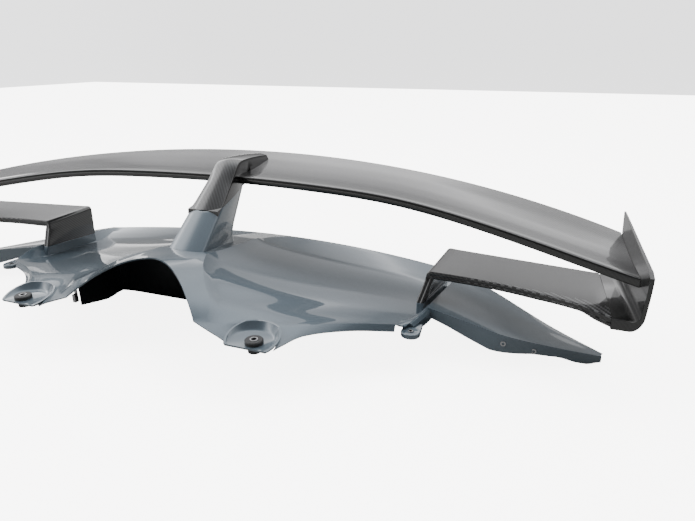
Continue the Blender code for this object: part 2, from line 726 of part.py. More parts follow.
def ridge_point(x):
    """The crease above the front web of an outer panel, at x."""
    curve = deck_grids()["outer_panel"][0]
    for first, second in zip(curve, curve[1:]):
        if x <= second.x:
            return first.lerp(second, max((x - first.x) / (second.x - first.x), 0.0))
    return curve[-1]


def rod(name, centre, radius, low, high, looks, axis="Z", look="steel", steps=12):
    return turned_solid(name, centre, [(radius, low), (radius, high)], looks[look], steps, axis)


def keep_largest(target):
    """Removes crumbs and closed pockets that the Booleans left, and keeps the largest body."""
    work = bmesh.new()
    work.from_mesh(target.data)
    seen = set()
    bodies = []
    for vert in work.verts:
        if vert in seen:
            continue
        body = [vert]
        seen.add(vert)
        for item in body:
            for edge in item.link_edges:
                other = edge.other_vert(item)
                if other not in seen:
                    seen.add(other)
                    body.append(other)
        bodies.append(body)
    bodies.sort(key=len)
    for body in bodies[:-1]:
        bmesh.ops.delete(work, geom=body, context="VERTS")
    work.to_mesh(target.data)
    work.free()


def mirror_half(target):
    """Keeps the +X half of a mesh and joins its mirror image to it."""
    work = bmesh.new()
    work.from_mesh(target.data)
    everything = work.verts[:] + work.edges[:] + work.faces[:]
    bmesh.ops.bisect_plane(work, geom=everything, plane_co=(0, 0, 0), plane_no=(1, 0, 0), clear_inner=True)
    for vert in work.verts:
        if abs(vert.co.x) < 0.000002:
            vert.co.x = 0.0
    copy = bmesh.ops.duplicate(work, geom=work.verts[:] + work.edges[:] + work.faces[:])["geom"]
    for item in copy:
        if isinstance(item, bmesh.types.BMVert):
            item.co.x = -item.co.x
    bmesh.ops.reverse_faces(work, faces=[item for item in copy if isinstance(item, bmesh.types.BMFace)])
    seam = [vert for vert in work.verts if vert.co.x == 0.0]
    bmesh.ops.remove_doubles(work, verts=seam, dist=0.000003)
    bmesh.ops.recalc_face_normals(work, faces=work.faces)
    work.to_mesh(target.data)
    work.free()


def mirror_copy(source, name):
    """A mirror image of a side piece, for the -X side."""
    work = bmesh.new()
    work.from_mesh(source.data)
    for vert in work.verts:
        vert.co.x = -vert.co.x
    bmesh.ops.reverse_faces(work, faces=work.faces)
    mesh = bpy.data.meshes.new(name)
    work.to_mesh(mesh)
    work.free()
    return add_object(name, mesh, source.data.materials[0])


def make_base(looks):
    panel = base_surface(looks)
    apply_modifiers(panel)
    x, y = TAB_CENTRE
    clear = [(TAB_CUP_RADIUS - 0.0105, 0.05), (TAB_CUP_RADIUS - 0.0105, TAB_PLATE_Z - 0.002),
             (TAB_CUP_RADIUS + 0.0015, TAB_PLATE_Z + 0.015), (TAB_CUP_RADIUS + 0.0015, 0.14)]
    boolean(panel, turned_solid("tab_clear", (x - TAB_CUP_SHIFT, y, 0.0), clear, looks["paint"], 28),
            "DIFFERENCE")
    apply_modifiers(panel)
    for piece in (gusset("gusset", looks), web_start("web", looks), lug("lug", looks),
                  leg_stub("stub", looks), toe("toe", looks), tab_cup("tab_cup", looks)):
        boolean(panel, piece, "UNION")
        apply_modifiers(panel)
    lug_x, lug_y = LUG_CENTRE
    boolean(panel, rod("lug_clear", (lug_x, lug_y, 0.0), 0.0055, 0.06, 0.09, looks, steps=20), "DIFFERENCE")
    for x in INSERT_X:
        point = ridge_point(x)
        boolean(panel, rod("insert_clear", (x, point.y, point.z - INSERT_DROP), INSERT_RADIUS + GAP,
                           -0.010, 0.014, looks, "Y"), "DIFFERENCE")
    for s in LEG_SCREW_AT:
        spot = leg_screw_spot(s)
        boolean(panel, rod("leg_clear", (spot[0], spot[1], 0.0), LEG_SCREW_RADIUS + GAP, 0.0, 0.12, looks),
                "DIFFERENCE")
        boolean(panel, rod("head_clear", (spot[0], spot[1], 0.0), LEG_HEAD_RADIUS + GAP, 0.0,
                           spot[2] + GAP, looks),
                "DIFFERENCE")
    for y in PYLON_SCREW_Y:
        boolean(panel, rod("pylon_clear", (0.0, y, 0.0), PYLON_SCREW_RADIUS + GAP, 0.05, 0.20, looks),
                "DIFFERENCE")
    apply_modifiers(panel)
    keep_largest(panel)
    mirror_half(panel)
    panel.name = "base_panel"
    panel.data.name = "base_panel"


BUSH_BODY = 0.0118
INSERT_X = (0.667, 0.722)
INSERT_DROP = 0.017                   # the inserts sit this far under the ridge
INSERT_RADIUS = 0.0052
LEG_SCREW_AT = (0.22, 0.62)           # along the leg, from front to rear
LEG_SCREW_RADIUS = 0.0019
LEG_HEAD_RADIUS = 0.0034
PYLON_SCREW_Y = (-0.045, 0.022)
PYLON_SCREW_RADIUS = 0.004


def leg_screw_spot(s):
    """X and Y of a leg screw, and the height of the seat of its head."""
    front, rear = leg_outline(1.0)
    x = front[0] + (rear[0] - front[0]) * s + 0.0070 - 0.0035 * (s - 0.22)
    y = front[1] + (rear[1] - front[1]) * s
    return x, y, 0.058 - 0.020 * s


def leg_screw_end(s):
    """Height of a leg screw's upper end, inside the leg."""
    return LEG_JOINT_Z[0] + (LEG_JOINT_Z[1] - LEG_JOINT_Z[0]) * s + 0.013


def top_surface():
    """The +X half of the panel's top surface, to look heights up in."""
    points = []
    faces = []
    for grid in deck_grids().values():
        start = len(points)
        width = len(grid[0])
        for row in grid:
            points.extend(row)
        for j in range(len(grid) - 1):
            for i in range(width - 1):
                corner = start + j * width + i
                faces.append((corner, corner + 1, corner + width + 1, corner + width))
    return BVHTree.FromPolygons(points, faces)


def height_under(surface, x, y):
    """The height of the panel's top surface at a place."""
    hit = surface.ray_cast(Vector((abs(x), y, 1.0)), Vector((0.0, 0.0, -1.0)))
    return hit[0].z


def make_inner_panel(looks):
    """The dark wall under the deck: across behind the arch and forward on both sides."""
    surface = top_surface()
    wall = 0.003
    route = spline([(0.236, -0.185, 0), (0.248, -0.10, 0), (0.262, -0.045, 0), (0.245, -0.028, 0),
                    (0.12, -0.026, 0), (0.0, -0.026, 0)], 25)
    route = route + [Vector((-p.x, p.y, 0)) for p in reversed(route[:-1])]
    loops = []
    for i, point in enumerate(route):
        before = route[max(i - 1, 0)]
        after = route[min(i + 1, len(route) - 1)]
        across = (after - before).normalized().cross(Vector((0, 0, 1))) * wall / 2
        top = height_under(surface, point.x, point.y) - PANEL - 0.0035
        floor = interpolate([(-0.185, 0.030), (-0.10, 0.006), (-0.06, 0.0), (0.0, 0.0)], point.y)
        a = point - across
        b = point + across
        loops.append([(a.x, a.y, floor), (b.x, b.y, floor), (b.x, b.y, top), (a.x, a.y, top)])
    loft("inner_panel", loops, looks["inner"])


# ---- winglets and endplates ---------------------------------------------------------------
WINGLET_FRONT = [(0.50, -0.004), (0.56, -0.010), (0.647, -0.024), (0.73, -0.046), (0.79, -0.067), (0.85,
                                                                                                   -0.085)]
WINGLET_REAR = [(0.51, 0.154), (0.85, 0.104)]
LIP_TOP = [(0.50, 0.1460), (0.647, 0.1480), (0.73, 0.1475), (0.79, 0.1465), (0.84, 0.1385)]
LIP_DEPTH = [(0.50, 0.0155), (0.70, 0.0145), (0.785, 0.0125), (0.815, 0.0190), (0.85, 0.0205)]
WINGLET_REAR_DEPTH = 0.004
TAPER = [(0.0, 0.92), (0.02, 1.0), (0.08, 1.0), (0.20, 0.72), (0.5, 0.45), (1.0, 0.0)]
WINGLET_CHORD = [0.0, 0.02, 0.08, 0.2, 0.45, 0.75, 1.0]
CORNER_RADIUS = 0.010
INNER_RADIUS = 0.002
FOOT_RADIUS = 0.014


def seam_x(y):
    """Where a winglet ends and the foot of its endplate begins."""
    return 0.833 - 0.065 * y


def winglet_depth(x, s):
    return WINGLET_REAR_DEPTH + (interpolate(LIP_DEPTH, x) - WINGLET_REAR_DEPTH) * interpolate(TAPER, s)


def plate_top(x, s):
    front = interpolate(LIP_TOP, x)
    return WINGLET_Z + (front - WINGLET_Z) * (1 - s) ** 2


def plate_loop(k):
    """A cut through the winglet's plate, k from 0 beside the leg to 1 at the endplate's foot."""
    top = []
    low = []
    for s in WINGLET_CHORD:
        start = 0.500 + 0.012 * s + CORNER_RADIUS + 0.016
        x = start
        for _ in range(3):
            y = interpolate(WINGLET_FRONT, x) * (1 - s) + interpolate(WINGLET_REAR, x) * s
            x = start + (seam_x(y) - GAP / 2 - start) * k
        z = plate_top(x, s)
        nose = 0.0012 if s == 0 else 0.0
        top.append((x, y, z - nose))
        low.append((x, y, z - winglet_depth(x, s)))
    return top + list(reversed(low))


def corner_loop(angle):
    """A cut through the bend of leg and plate; angle 0 is the leg's side, 90 degrees the plate's."""
    a = math.radians(angle)
    top = []
    low = []
    for s in WINGLET_CHORD:
        x = 0.500 + 0.012 * s
        y = -0.004 * (1 - s) + 0.154 * s
        z = plate_top(x, s)
        depth = winglet_depth(x, s)
        nose = 0.0012 if s == 0 else 0.0
        top.append((x + CORNER_RADIUS * (1 - math.cos(a)) + nose * math.cos(a), y,
                    z - CORNER_RADIUS * (1 - math.sin(a)) - nose * math.sin(a)))
        low.append((x + depth + INNER_RADIUS * (1 - math.cos(a)), y,
                    z - depth - INNER_RADIUS * (1 - math.sin(a))))
    return top + list(reversed(low))


def leg_loop(t):
    """A cut through the leg: t is 1 at its foot and 2 at its top."""
    front, rear = leg_outline(t)
    face = []
    back = []
    for s in WINGLET_CHORD:
        x = front[0] + (rear[0] - front[0]) * s
        y = front[1] + (rear[1] - front[1]) * s
        foot = LEG_JOINT_Z[0] + (LEG_JOINT_Z[1] - LEG_JOINT_Z[0]) * s
        z = foot + (WINGLET_Z - CORNER_RADIUS - 0.008 - foot) * (t - 1)
        nose = 0.0012 if s == 0 else 0.0
        face.append((x + nose, y, z))
        back.append((x + winglet_depth(0.5, s), y, z))
    return face + list(reversed(back))


def make_winglets(looks):
    loops = [leg_loop(t) for t in (1.0, 1.5, 1.93)] + [corner_loop(a) for a in (0, 35, 65, 90)]
    loops += [plate_loop(k) for k in (0.0, 0.2, 0.4, 0.55, 0.7, 0.8, 0.87, 0.94, 1.0)]
    winglet = loft("winglet_right", loops, looks["carbon"])
    for s in LEG_SCREW_AT:
        spot = leg_screw_spot(s)
        boolean(winglet, rod("leg_thread", (spot[0], spot[1], 0.0), LEG_SCREW_RADIUS + GAP, 0.04,
                             leg_screw_end(s) + 0.001, looks), "DIFFERENCE")
    apply_modifiers(winglet)
    mirror_copy(winglet, "winglet_left")


PLATE_WALL = [(0.0, 0.0070), (0.25, 0.0062), (0.8, 0.0048), (1.0, 0.0040)]
PLATE_CHORD = [0.0, 0.03, 0.12, 0.35, 0.65, 0.9, 1.0]
FOOT_DEPTH = [(0.0, 0.0200), (0.08, 0.0200), (0.25, 0.0140), (0.6, 0.0080), (1.0, WINGLET_REAR_DEPTH)]
PLATE_TOP_Z = (0.231, 0.268)


def inner_face_x(y):
    return ENDPLATE_X - ENDPLATE_TOE * y - ENDPLATE_WALL


def endplate_loop(kind, value):
    """A cut through an endplate: its foot, the bend at value degrees, or the wall at value 0 to 1."""
    outer = []
    inner = []
    for s in PLATE_CHORD:
        wall = interpolate(PLATE_WALL, s)
        depth = interpolate(FOOT_DEPTH, s)
        rise = value if kind == "wall" else 0.0
        bend = {"foot": 0.0, "bend": value / 90, "wall": 1.0}[kind]
        front_y = -0.085 - 0.012 * bend - 0.007 * math.sin(math.pi * 0.62 * rise)
        front_y += 0.016 * max(rise - 0.9, 0.0) * 10
        rear_y = 0.104 + 0.004 * bend + 0.034 * rise
        y = front_y + (rear_y - front_y) * s
        floor_z = 0.137 + 0.009 * min(s * 1.4, 1.0)
        centre_z = floor_z + FOOT_RADIUS
        round_off = 0.25 * wall if s == 0 else 0.0
        if kind == "foot":
            x = seam_x(y) + GAP / 2
            outer.append((x, y, floor_z - depth + round_off))
            inner.append((x, y, floor_z - round_off))
        else:
            a = math.radians(value if kind == "bend" else 90)
            centre_x = inner_face_x(y) - FOOT_RADIUS
            top = PLATE_TOP_Z[0] + (PLATE_TOP_Z[1] - PLATE_TOP_Z[0]) * s
            lift = (top - centre_z) * rise
            inner.append((centre_x + (FOOT_RADIUS + round_off) * math.sin(a), y,
                          centre_z - (FOOT_RADIUS + round_off) * math.cos(a) + lift))
            outer.append((centre_x + (FOOT_RADIUS + wall - round_off) * math.sin(a), y,
                          centre_z - (FOOT_RADIUS + depth - round_off) * math.cos(a) + lift))
    return outer + list(reversed(inner))


def make_endplates(looks):
    loops = [endplate_loop("foot", 0)] + [endplate_loop("bend", a) for a in (0, 25, 50, 75)]
    loops += [endplate_loop("wall", w) for w in (0.0, 0.3, 0.6, 0.85, 0.95, 1.0)]
    endplate = loft("endplate_right", loops, looks["carbon"])
    block = bpy.data.objects["tip_block_right"]
    for s, place in zip(END_SCREW_AT, ("front", "rear")):
        x, y, z = end_screw_spot(s)
        clear = [(END_SCREW_RADIUS + GAP, -0.017), (END_SCREW_RADIUS + GAP, 0.03)]
        cutter = along_x("screw_clear", (x, y, z), clear, looks)
        boolean(endplate, cutter, "DIFFERENCE")
        boolean(block, cutter, "DIFFERENCE")
        surface = inner_face_x(y) + interpolate(PLATE_WALL, 0.5) + 0.0035 - x
        profile = [(END_SCREW_RADIUS, -0.016), (END_SCREW_RADIUS, surface), (0.0058, surface),
                   (0.0058, surface + 0.003)]
        screw = along_x("endplate_screw_right_" + place, (x, y, z), profile, looks)
        mirror_copy(screw, "endplate_screw_left_" + place)
    apply_keep(endplate)
    apply_modifiers(block)
    mirror_copy(endplate, "endplate_left")
    mirror_copy(block, "tip_block_left")


def along_x(name, centre, profile, looks):
    """A solid turned about the line through centre along X; the profile holds (radius, x) points."""
    made = turned_solid(name, (0, 0, 0), profile, looks["steel"], 12)
    for vert in made.data.vertices:
        across, along, height = vert.co
        vert.co = (centre[0] + height, centre[1] + across, centre[2] + along)
    fix_normals(made)
    return made


def fix_normals(target):
    work = bmesh.new()
    work.from_mesh(target.data)
    bmesh.ops.recalc_face_normals(work, faces=work.faces)
    work.to_mesh(target.data)
    work.free()


def apply_keep(target):
    """Replaces the mesh by its evaluated form and keeps the tools for another object."""
    evaluated = target.evaluated_get(bpy.context.evaluated_depsgraph_get())
    mesh = bpy.data.meshes.new_from_object(evaluated)
    target.modifiers.clear()
    target.data = mesh


END_SCREW_AT = (0.34, 0.54)
END_SCREW_RADIUS = 0.0025


def end_screw_spot(s):
    """Centre of an endplate screw on the wing's tip, chord fraction s."""
    x, y, z = wing_point(1.0, s, middle_of(s))
    return x, y, z + 0.0013


# ---- bracket and small hardware -----------------------------------------------------------
def make_bracket(looks):
    """The metal column inside the pylon: a foot on the plinth, a leaning web, a head under the wing."""
    half = 0.012
    foot = [(-0.062, 0.036), (-0.062, 0.036)]
    loops = []
    for y_pair, lift in zip(foot, (GAP, 0.006)):
        loops.append([(-half, y_pair[0], plinth_height(y_pair[0]) + lift),
                      (half, y_pair[0], plinth_height(y_pair[0]) + lift),
                      (half, y_pair[1], plinth_height(y_pair[1]) + lift),
                      (-half, y_pair[1], plinth_height(y_pair[1]) + lift)])
    for width, y0, y1, z0, z1 in ((half, -0.030, 0.010, 0.1565, 0.149),
                                  (0.009, 0.048, 0.070, 0.256, 0.256),
                                  (0.009, 0.066, 0.082, 0.2636, 0.2636),
                                  (half, 0.064, 0.105, 0.2648, 0.2648),
                                  (half, 0.064, 0.105, 0.2680, 0.2680)):
        loops.append([(-width, y0, z0), (width, y0, z0), (width, y1, z1), (-width, y1, z1)])
    bracket = loft("pylon_bracket", loops, looks["aluminium"])
    for y in PYLON_SCREW_Y:
        boolean(bracket, rod("bracket_clear", (0.0, y, 0.0), PYLON_SCREW_RADIUS + GAP, 0.10, 0.168,
                             looks), "DIFFERENCE")
    apply_modifiers(bracket)
    for y, place in zip(PYLON_SCREW_Y, ("front", "rear")):
        seat = plinth_height(y) - PANEL - 0.0042
        profile = [(0.0075, seat - 0.006), (0.0075, seat), (PYLON_SCREW_RADIUS, seat),
                   (PYLON_SCREW_RADIUS, plinth_height(y) + 0.012)]
        turned_solid("pylon_screw_" + place, (0.0, y, 0.0), profile, looks["steel"], 12)


def ring(name, side, centre, outer, inner, low, high, looks, look, axis="Z", steps=16):
    profile = [(inner, low), (outer, low), (outer, high), (inner, high)]
    x, y, z = centre
    return turned(name, (side * x, y, z), profile, looks[look], steps, axis)


def clip_loops():
    """A clip nut: its block, and the thin blade that holds it up under the deck."""
    low_x, high_x = 0.2395, 0.2475
    front, blade, rear = -0.1965, -0.1890, -0.1870
    surface = top_surface()
    corners = [(x, y) for x in (low_x, high_x) for y in (blade, rear)]
    deck = min(height_under(surface, x, y) for x, y in corners) - PANEL - 0.0012
    loops = []
    for y, z in ((front, 0.040), (front, 0.058), (blade, 0.0583), (blade, deck)):
        loops.append([(low_x, y, z), (high_x, y, z), (high_x, rear, z), (low_x, rear, z)])
    return loops


def make_hardware(looks):
    for side, word in ((1, "right"), (-1, "left")):
        x, y = TAB_CENTRE
        seat = TAB_PLATE_Z + GAP
        bush = [(BUSH_HOLE, BUSH_FOOT_Z), (BUSH_BODY, BUSH_FOOT_Z), (BUSH_BODY, seat), (BUSH_RADIUS, seat),
                (BUSH_RADIUS, seat + 0.0055), (BUSH_RADIUS - 0.0015, seat + 0.0070), (BUSH_HOLE,
                                                                                      seat + 0.0070)]
        turned("tab_bush_" + word, (side * x, y, 0.0), bush, looks["rubber"], 24)
        ring("tab_sleeve_" + word, side, (x, y, 0.0), BUSH_HOLE - GAP, 0.0052, BUSH_FOOT_Z - 0.0006,
             seat + 0.0076, looks, "steel")
        ring("lug_insert_" + word, side, (*LUG_CENTRE, 0.0), 0.0052, 0.0032, LUG_Z - 0.0100, LUG_Z + 0.0006,
             looks, "steel")
        for x, place in zip(INSERT_X, ("inner", "outer")):
            point = ridge_point(x)
            ring("flange_insert_" + word + "_" + place, side, (x, point.y, point.z - INSERT_DROP),
                 INSERT_RADIUS,
                 0.0028, -0.0015, 0.0095, looks, "steel", "Y", 12)
        for s, place in zip(LEG_SCREW_AT, ("front", "rear")):
            spot = leg_screw_spot(s)
            profile = [(LEG_HEAD_RADIUS, spot[2] - 0.004), (LEG_HEAD_RADIUS, spot[2]), (LEG_SCREW_RADIUS,
                                                                                        spot[2]),
                       (LEG_SCREW_RADIUS, leg_screw_end(s))]
            turned_solid("leg_screw_" + word + "_" + place, (side * spot[0], spot[1], 0.0), profile,
                         looks["steel"], 12)
        loft("clip_nut_" + word, clip_loops(), looks["steel"], mirrored=side < 0)


def main():
    for item in list(bpy.data.objects):
        bpy.data.objects.remove(item)
    looks = make_materials()
    make_wing(looks)
    make_pylon(looks)
    make_cap(looks)
    make_base(looks)
    make_inner_panel(looks)
    make_winglets(looks)
    make_endplates(looks)
    make_bracket(looks)
    make_hardware(looks)


main()
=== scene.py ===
import json
import math

import bpy
import bmesh
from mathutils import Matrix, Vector


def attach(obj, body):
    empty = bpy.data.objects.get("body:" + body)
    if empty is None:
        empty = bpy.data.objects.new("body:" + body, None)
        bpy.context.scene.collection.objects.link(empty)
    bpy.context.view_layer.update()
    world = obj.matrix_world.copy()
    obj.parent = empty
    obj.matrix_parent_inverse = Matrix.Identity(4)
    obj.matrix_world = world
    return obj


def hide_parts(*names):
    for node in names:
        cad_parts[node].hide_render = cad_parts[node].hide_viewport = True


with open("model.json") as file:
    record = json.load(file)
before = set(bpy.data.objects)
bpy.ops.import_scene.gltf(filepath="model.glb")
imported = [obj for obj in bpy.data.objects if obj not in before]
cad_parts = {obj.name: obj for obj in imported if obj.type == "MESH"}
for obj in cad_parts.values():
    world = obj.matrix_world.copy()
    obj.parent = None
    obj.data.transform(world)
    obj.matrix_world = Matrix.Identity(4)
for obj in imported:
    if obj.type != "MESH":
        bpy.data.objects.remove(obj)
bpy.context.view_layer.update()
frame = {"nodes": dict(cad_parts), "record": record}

GAP = 0.0003
ENDPLATE_X = 0.8756
ENDPLATE_TOE = 0.10
ENDPLATE_WALL = 0.006


# ---- small helpers ------------------------------------------------------------------------
def smooth(pairs, value):
    """A smooth curve through a short list of (value, result)."""
    if value <= pairs[0][0]:
        return pairs[0][1]
    if value >= pairs[-1][0]:
        return pairs[-1][1]
    slopes = []
    steps = [(b[1] - a[1]) / (b[0] - a[0]) for a, b in zip(pairs, pairs[1:])]
    for i in range(len(pairs)):
        if i == 0:
            slopes.append(steps[0])
        elif i == len(pairs) - 1:
            slopes.append(steps[-1])
        elif steps[i - 1] * steps[i] <= 0:
            slopes.append(0.0)
        else:
            slopes.append(2 * steps[i - 1] * steps[i] / (steps[i - 1] + steps[i]))
    for i in range(len(pairs) - 1):
        (a, first), (b, second) = pairs[i], pairs[i + 1]
        if value <= b:
            h = b - a
            t = (value - a) / h
            return (first * (1 + 2 * t) * (1 - t) ** 2 + second * t * t * (3 - 2 * t)
                    + h * slopes[i] * t * (1 - t) ** 2 - h * slopes[i + 1] * t * t * (1 - t))


def straight(pairs, value):
    """Straight lines through a short list of (value, result)."""
    for (a, first), (b, second) in zip(pairs, pairs[1:]):
        if value <= b:
            t = min(max((value - a) / (b - a), 0.0), 1.0)
            return first + (second - first) * t
    return pairs[-1][1]


def even(dense, count):
    """count points evenly spaced along a polyline."""
    lengths = [0.0]
    for first, second in zip(dense, dense[1:]):
        lengths.append(lengths[-1] + (second - first).length)
    result = []
    j = 0
    for i in range(count):
        target = lengths[-1] * i / (count - 1)
        while j < len(dense) - 2 and lengths[j + 1] < target:
            j += 1
        span = max(lengths[j + 1] - lengths[j], 1e-9)
        result.append(dense[j].lerp(dense[j + 1], min(max((target - lengths[j]) / span, 0.0), 1.0)))
    return result


def spline(points, count):
    """count points along a Catmull-Rom curve through the given ones, evenly spaced."""
    known = [Vector(p) for p in points]
    dense = []
    for i in range(len(known) - 1):
        before = known[max(i - 1, 0)]
        after = known[min(i + 2, len(known) - 1)]
        for step in range(24):
            t = step / 24
            a = 2 * known[i]
            b = (known[i + 1] - before) * t
            c = (2 * before - 5 * known[i] + 4 * known[i + 1] - after) * t ** 2
            d = (3 * known[i] - before - 3 * known[i + 1] + after) * t ** 3
            dense.append((a + b + c + d) / 2)
    dense.append(known[-1])
    return even(dense, count)


def coons(front, rear, inner, outer):
    """A grid of points that fills four boundary curves; grid[j][i], j front to rear, i inner to outer."""
    grid = []
    for j in range(len(inner)):
        v = j / (len(inner) - 1)
        row = []
        for i in range(len(front)):
            u = i / (len(front) - 1)
            ruled = inner[j] * (1 - u) + outer[j] * u + front[i] * (1 - v) + rear[i] * v
            corners = ((front[0] * (1 - u) + front[-1] * u) * (1 - v)
                       + (rear[0] * (1 - u) + rear[-1] * u) * v)
            row.append(ruled - corners)
        grid.append(row)
    return grid


def box_map(mesh):
    """UVs in metres, each face laid flat along the axis it faces most."""
    layer = mesh.uv_layers.new(name="UVMap")
    for polygon in mesh.polygons:
        n = polygon.normal
        widest = max(range(3), key=lambda k: abs(n[k]))
        pick = {0: (1, 2), 1: (0, 2), 2: (0, 1)}[widest]
        for index in polygon.loop_indices:
            co = mesh.vertices[mesh.loops[index].vertex_index].co
            layer.data[index].uv = (co[pick[0]], co[pick[1]])


def show(name, work, look, covers=(), angle=35):
    """Makes the object, lets it ride with the frame and stand for the CAD nodes it covers."""
    bmesh.ops.recalc_face_normals(work, faces=work.faces)
    mesh = bpy.data.meshes.new(name)
    work.to_mesh(mesh)
    work.free()
    mesh.shade_smooth()
    mesh.set_sharp_from_angle(angle=math.radians(angle))
    box_map(mesh)
    mesh.materials.append(look)
    made = bpy.data.objects.new(name.replace(" ", "_"), mesh)
    bpy.context.scene.collection.objects.link(made)
    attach(made, "root")
    if covers:
        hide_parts(*covers)
    return made


def skin(work, loops, side=1.0, closed=True, capped=True):
    """Faces through loops that have the same number of points."""
    rings = [[work.verts.new((side * x, y, z)) for x, y, z in loop] for loop in loops]
    count = len(rings[0])
    for first, second in zip(rings, rings[1:]):
        for i in range(count if closed else count - 1):
            j = (i + 1) % count
            work.faces.new((first[i], first[j], second[j], second[i]))
    if capped:
        work.faces.new(rings[0])
        work.faces.new(rings[-1])


def turned(work, centre, profile, steps=48, side=1.0):
    """A ring turned about the upright line through centre; the profile holds (radius, height)."""
    rings = []
    for i in range(steps):
        angle = 2 * math.pi * i / steps
        rings.append([work.verts.new((side * (centre[0] + r * math.cos(angle)),
                                      centre[1] + r * math.sin(angle), h))
                      for r, h in profile])
    for i in range(steps):
        first = rings[i]
        second = rings[(i + 1) % steps]
        for j in range(len(profile)):
            k = (j + 1) % len(profile)
            work.faces.new((first[j], first[k], second[k], second[j]))


def bevel(made, width, segments=2, angle=30):
    """A narrow round on every edge sharper than angle."""
    edge = made.modifiers.new("soft edges", "BEVEL")
    edge.width = width
    edge.segments = segments
    edge.limit_method = "ANGLE"
    edge.angle_limit = math.radians(angle)
    edge.harden_normals = True
    return edge


# ---- materials ----------------------------------------------------------------------------
def start(name, colour, roughness, metallic=0.0, coat=0.0, coat_roughness=0.03):
    """A new material, its nodes and its shader."""
    made = bpy.data.materials.new(name)
    made.use_nodes = True
    shader = made.node_tree.nodes["Principled BSDF"]
    shader.inputs["Base Color"].default_value = (*colour, 1.0)
    shader.inputs["Roughness"].default_value = roughness
    shader.inputs["Metallic"].default_value = metallic
    shader.inputs["Coat Weight"].default_value = coat
    shader.inputs["Coat Roughness"].default_value = coat_roughness
    return made, made.node_tree, shader


def node(tree, kind, **values):
    """A new node with the given properties."""
    made = tree.nodes.new(kind)
    for key, value in values.items():
        setattr(made, key, value)
    return made


def maths(tree, operation, first, second=None):
    """A maths node; inputs are sockets or numbers."""
    made = node(tree, "ShaderNodeMath", operation=operation)
    for socket, value in zip(made.inputs, (first, second)):
        if value is None:
            continue
        if isinstance(value, (int, float)):
            socket.default_value = value
        else:
            tree.links.new(value, socket)
    return made.outputs[0]


def carbon(name, tow=0.0022, dark=(0.010, 0.010, 0.011), light=(0.060, 0.061, 0.063), rough=0.30,
           strength=0.25,
           coat=1.0, coat_roughness=0.04):
    """A two by two twill: each tow passes over two and under two, one step on in every row."""
    made, tree, shader = start(name, dark, rough, 0.25, coat, coat_roughness)
    uv = node(tree, "ShaderNodeUVMap", uv_map="UVMap")
    split = node(tree, "ShaderNodeSeparateXYZ")
    tree.links.new(uv.outputs[0], split.inputs[0])
    u = maths(tree, "DIVIDE", split.outputs[0], tow)
    v = maths(tree, "DIVIDE", split.outputs[1], tow)
    step = maths(tree, "ADD", maths(tree, "FLOOR", u), maths(tree, "FLOOR", v))
    over = maths(tree, "LESS_THAN", maths(tree, "FLOORED_MODULO", step, 4.0), 2.0)
    ridge_u = maths(tree, "SINE", maths(tree, "MULTIPLY", maths(tree, "FRACT", u), math.pi))
    ridge_v = maths(tree, "SINE", maths(tree, "MULTIPLY", maths(tree, "FRACT", v), math.pi))
    height = node(tree, "ShaderNodeMix", data_type="FLOAT")
    tree.links.new(over, height.inputs[0])
    tree.links.new(ridge_v, height.inputs[2])
    tree.links.new(ridge_u, height.inputs[3])
    colour = node(tree, "ShaderNodeMix", data_type="RGBA")
    tree.links.new(over, colour.inputs[0])
    colour.inputs[6].default_value = (*dark, 1.0)
    colour.inputs[7].default_value = (*light, 1.0)
    tree.links.new(colour.outputs[2], shader.inputs["Base Color"])
    bump = node(tree, "ShaderNodeBump")
    bump.inputs["Strength"].default_value = strength
    bump.inputs["Distance"].default_value = 0.0003
    tree.links.new(height.outputs[0], bump.inputs["Height"])
    tree.links.new(bump.outputs[0], shader.inputs["Normal"])
    return made


def paint(name, colour, flake=0.35):
    """A solid-looking metallic base under a deep clear coat, with a fine flake."""
    made, tree, shader = start(name, colour, 0.34, 0.35, 1.0, 0.02)
    place = node(tree, "ShaderNodeTexCoord")
    grain = node(tree, "ShaderNodeTexNoise")
    grain.inputs["Scale"].default_value = 900.0
    grain.inputs["Detail"].default_value = 1.0
    tree.links.new(place.outputs["Object"], grain.inputs["Vector"])
    ramp = node(tree, "ShaderNodeMapRange")
    ramp.inputs["To Min"].default_value = 1.0 - flake * 0.5
    ramp.inputs["To Max"].default_value = 1.0 + flake * 0.5
    tree.links.new(grain.outputs[0], ramp.inputs[0])
    tint = node(tree, "ShaderNodeMix", data_type="RGBA", blend_type="MULTIPLY")
    tint.inputs[0].default_value = 1.0
    tint.inputs[6].default_value = (*colour, 1.0)
    tree.links.new(ramp.outputs[0], tint.inputs[7])
    tree.links.new(tint.outputs[2], shader.inputs["Base Color"])
    return made


def grained(name, colour, roughness, scale=400.0, metallic=0.0, amount=0.15):
    """A plain material with a fine grain in its surface."""
    made, tree, shader = start(name, colour, roughness, metallic)
    place = node(tree, "ShaderNodeTexCoord")
    grain = node(tree, "ShaderNodeTexNoise")
    grain.inputs["Scale"].default_value = scale
    tree.links.new(place.outputs["Object"], grain.inputs["Vector"])
    bump = node(tree, "ShaderNodeBump")
    bump.inputs["Strength"].default_value = amount
    bump.inputs["Distance"].default_value = 0.0002
    tree.links.new(grain.outputs[0], bump.inputs["Height"])
    tree.links.new(bump.outputs[0], shader.inputs["Normal"])
    return made


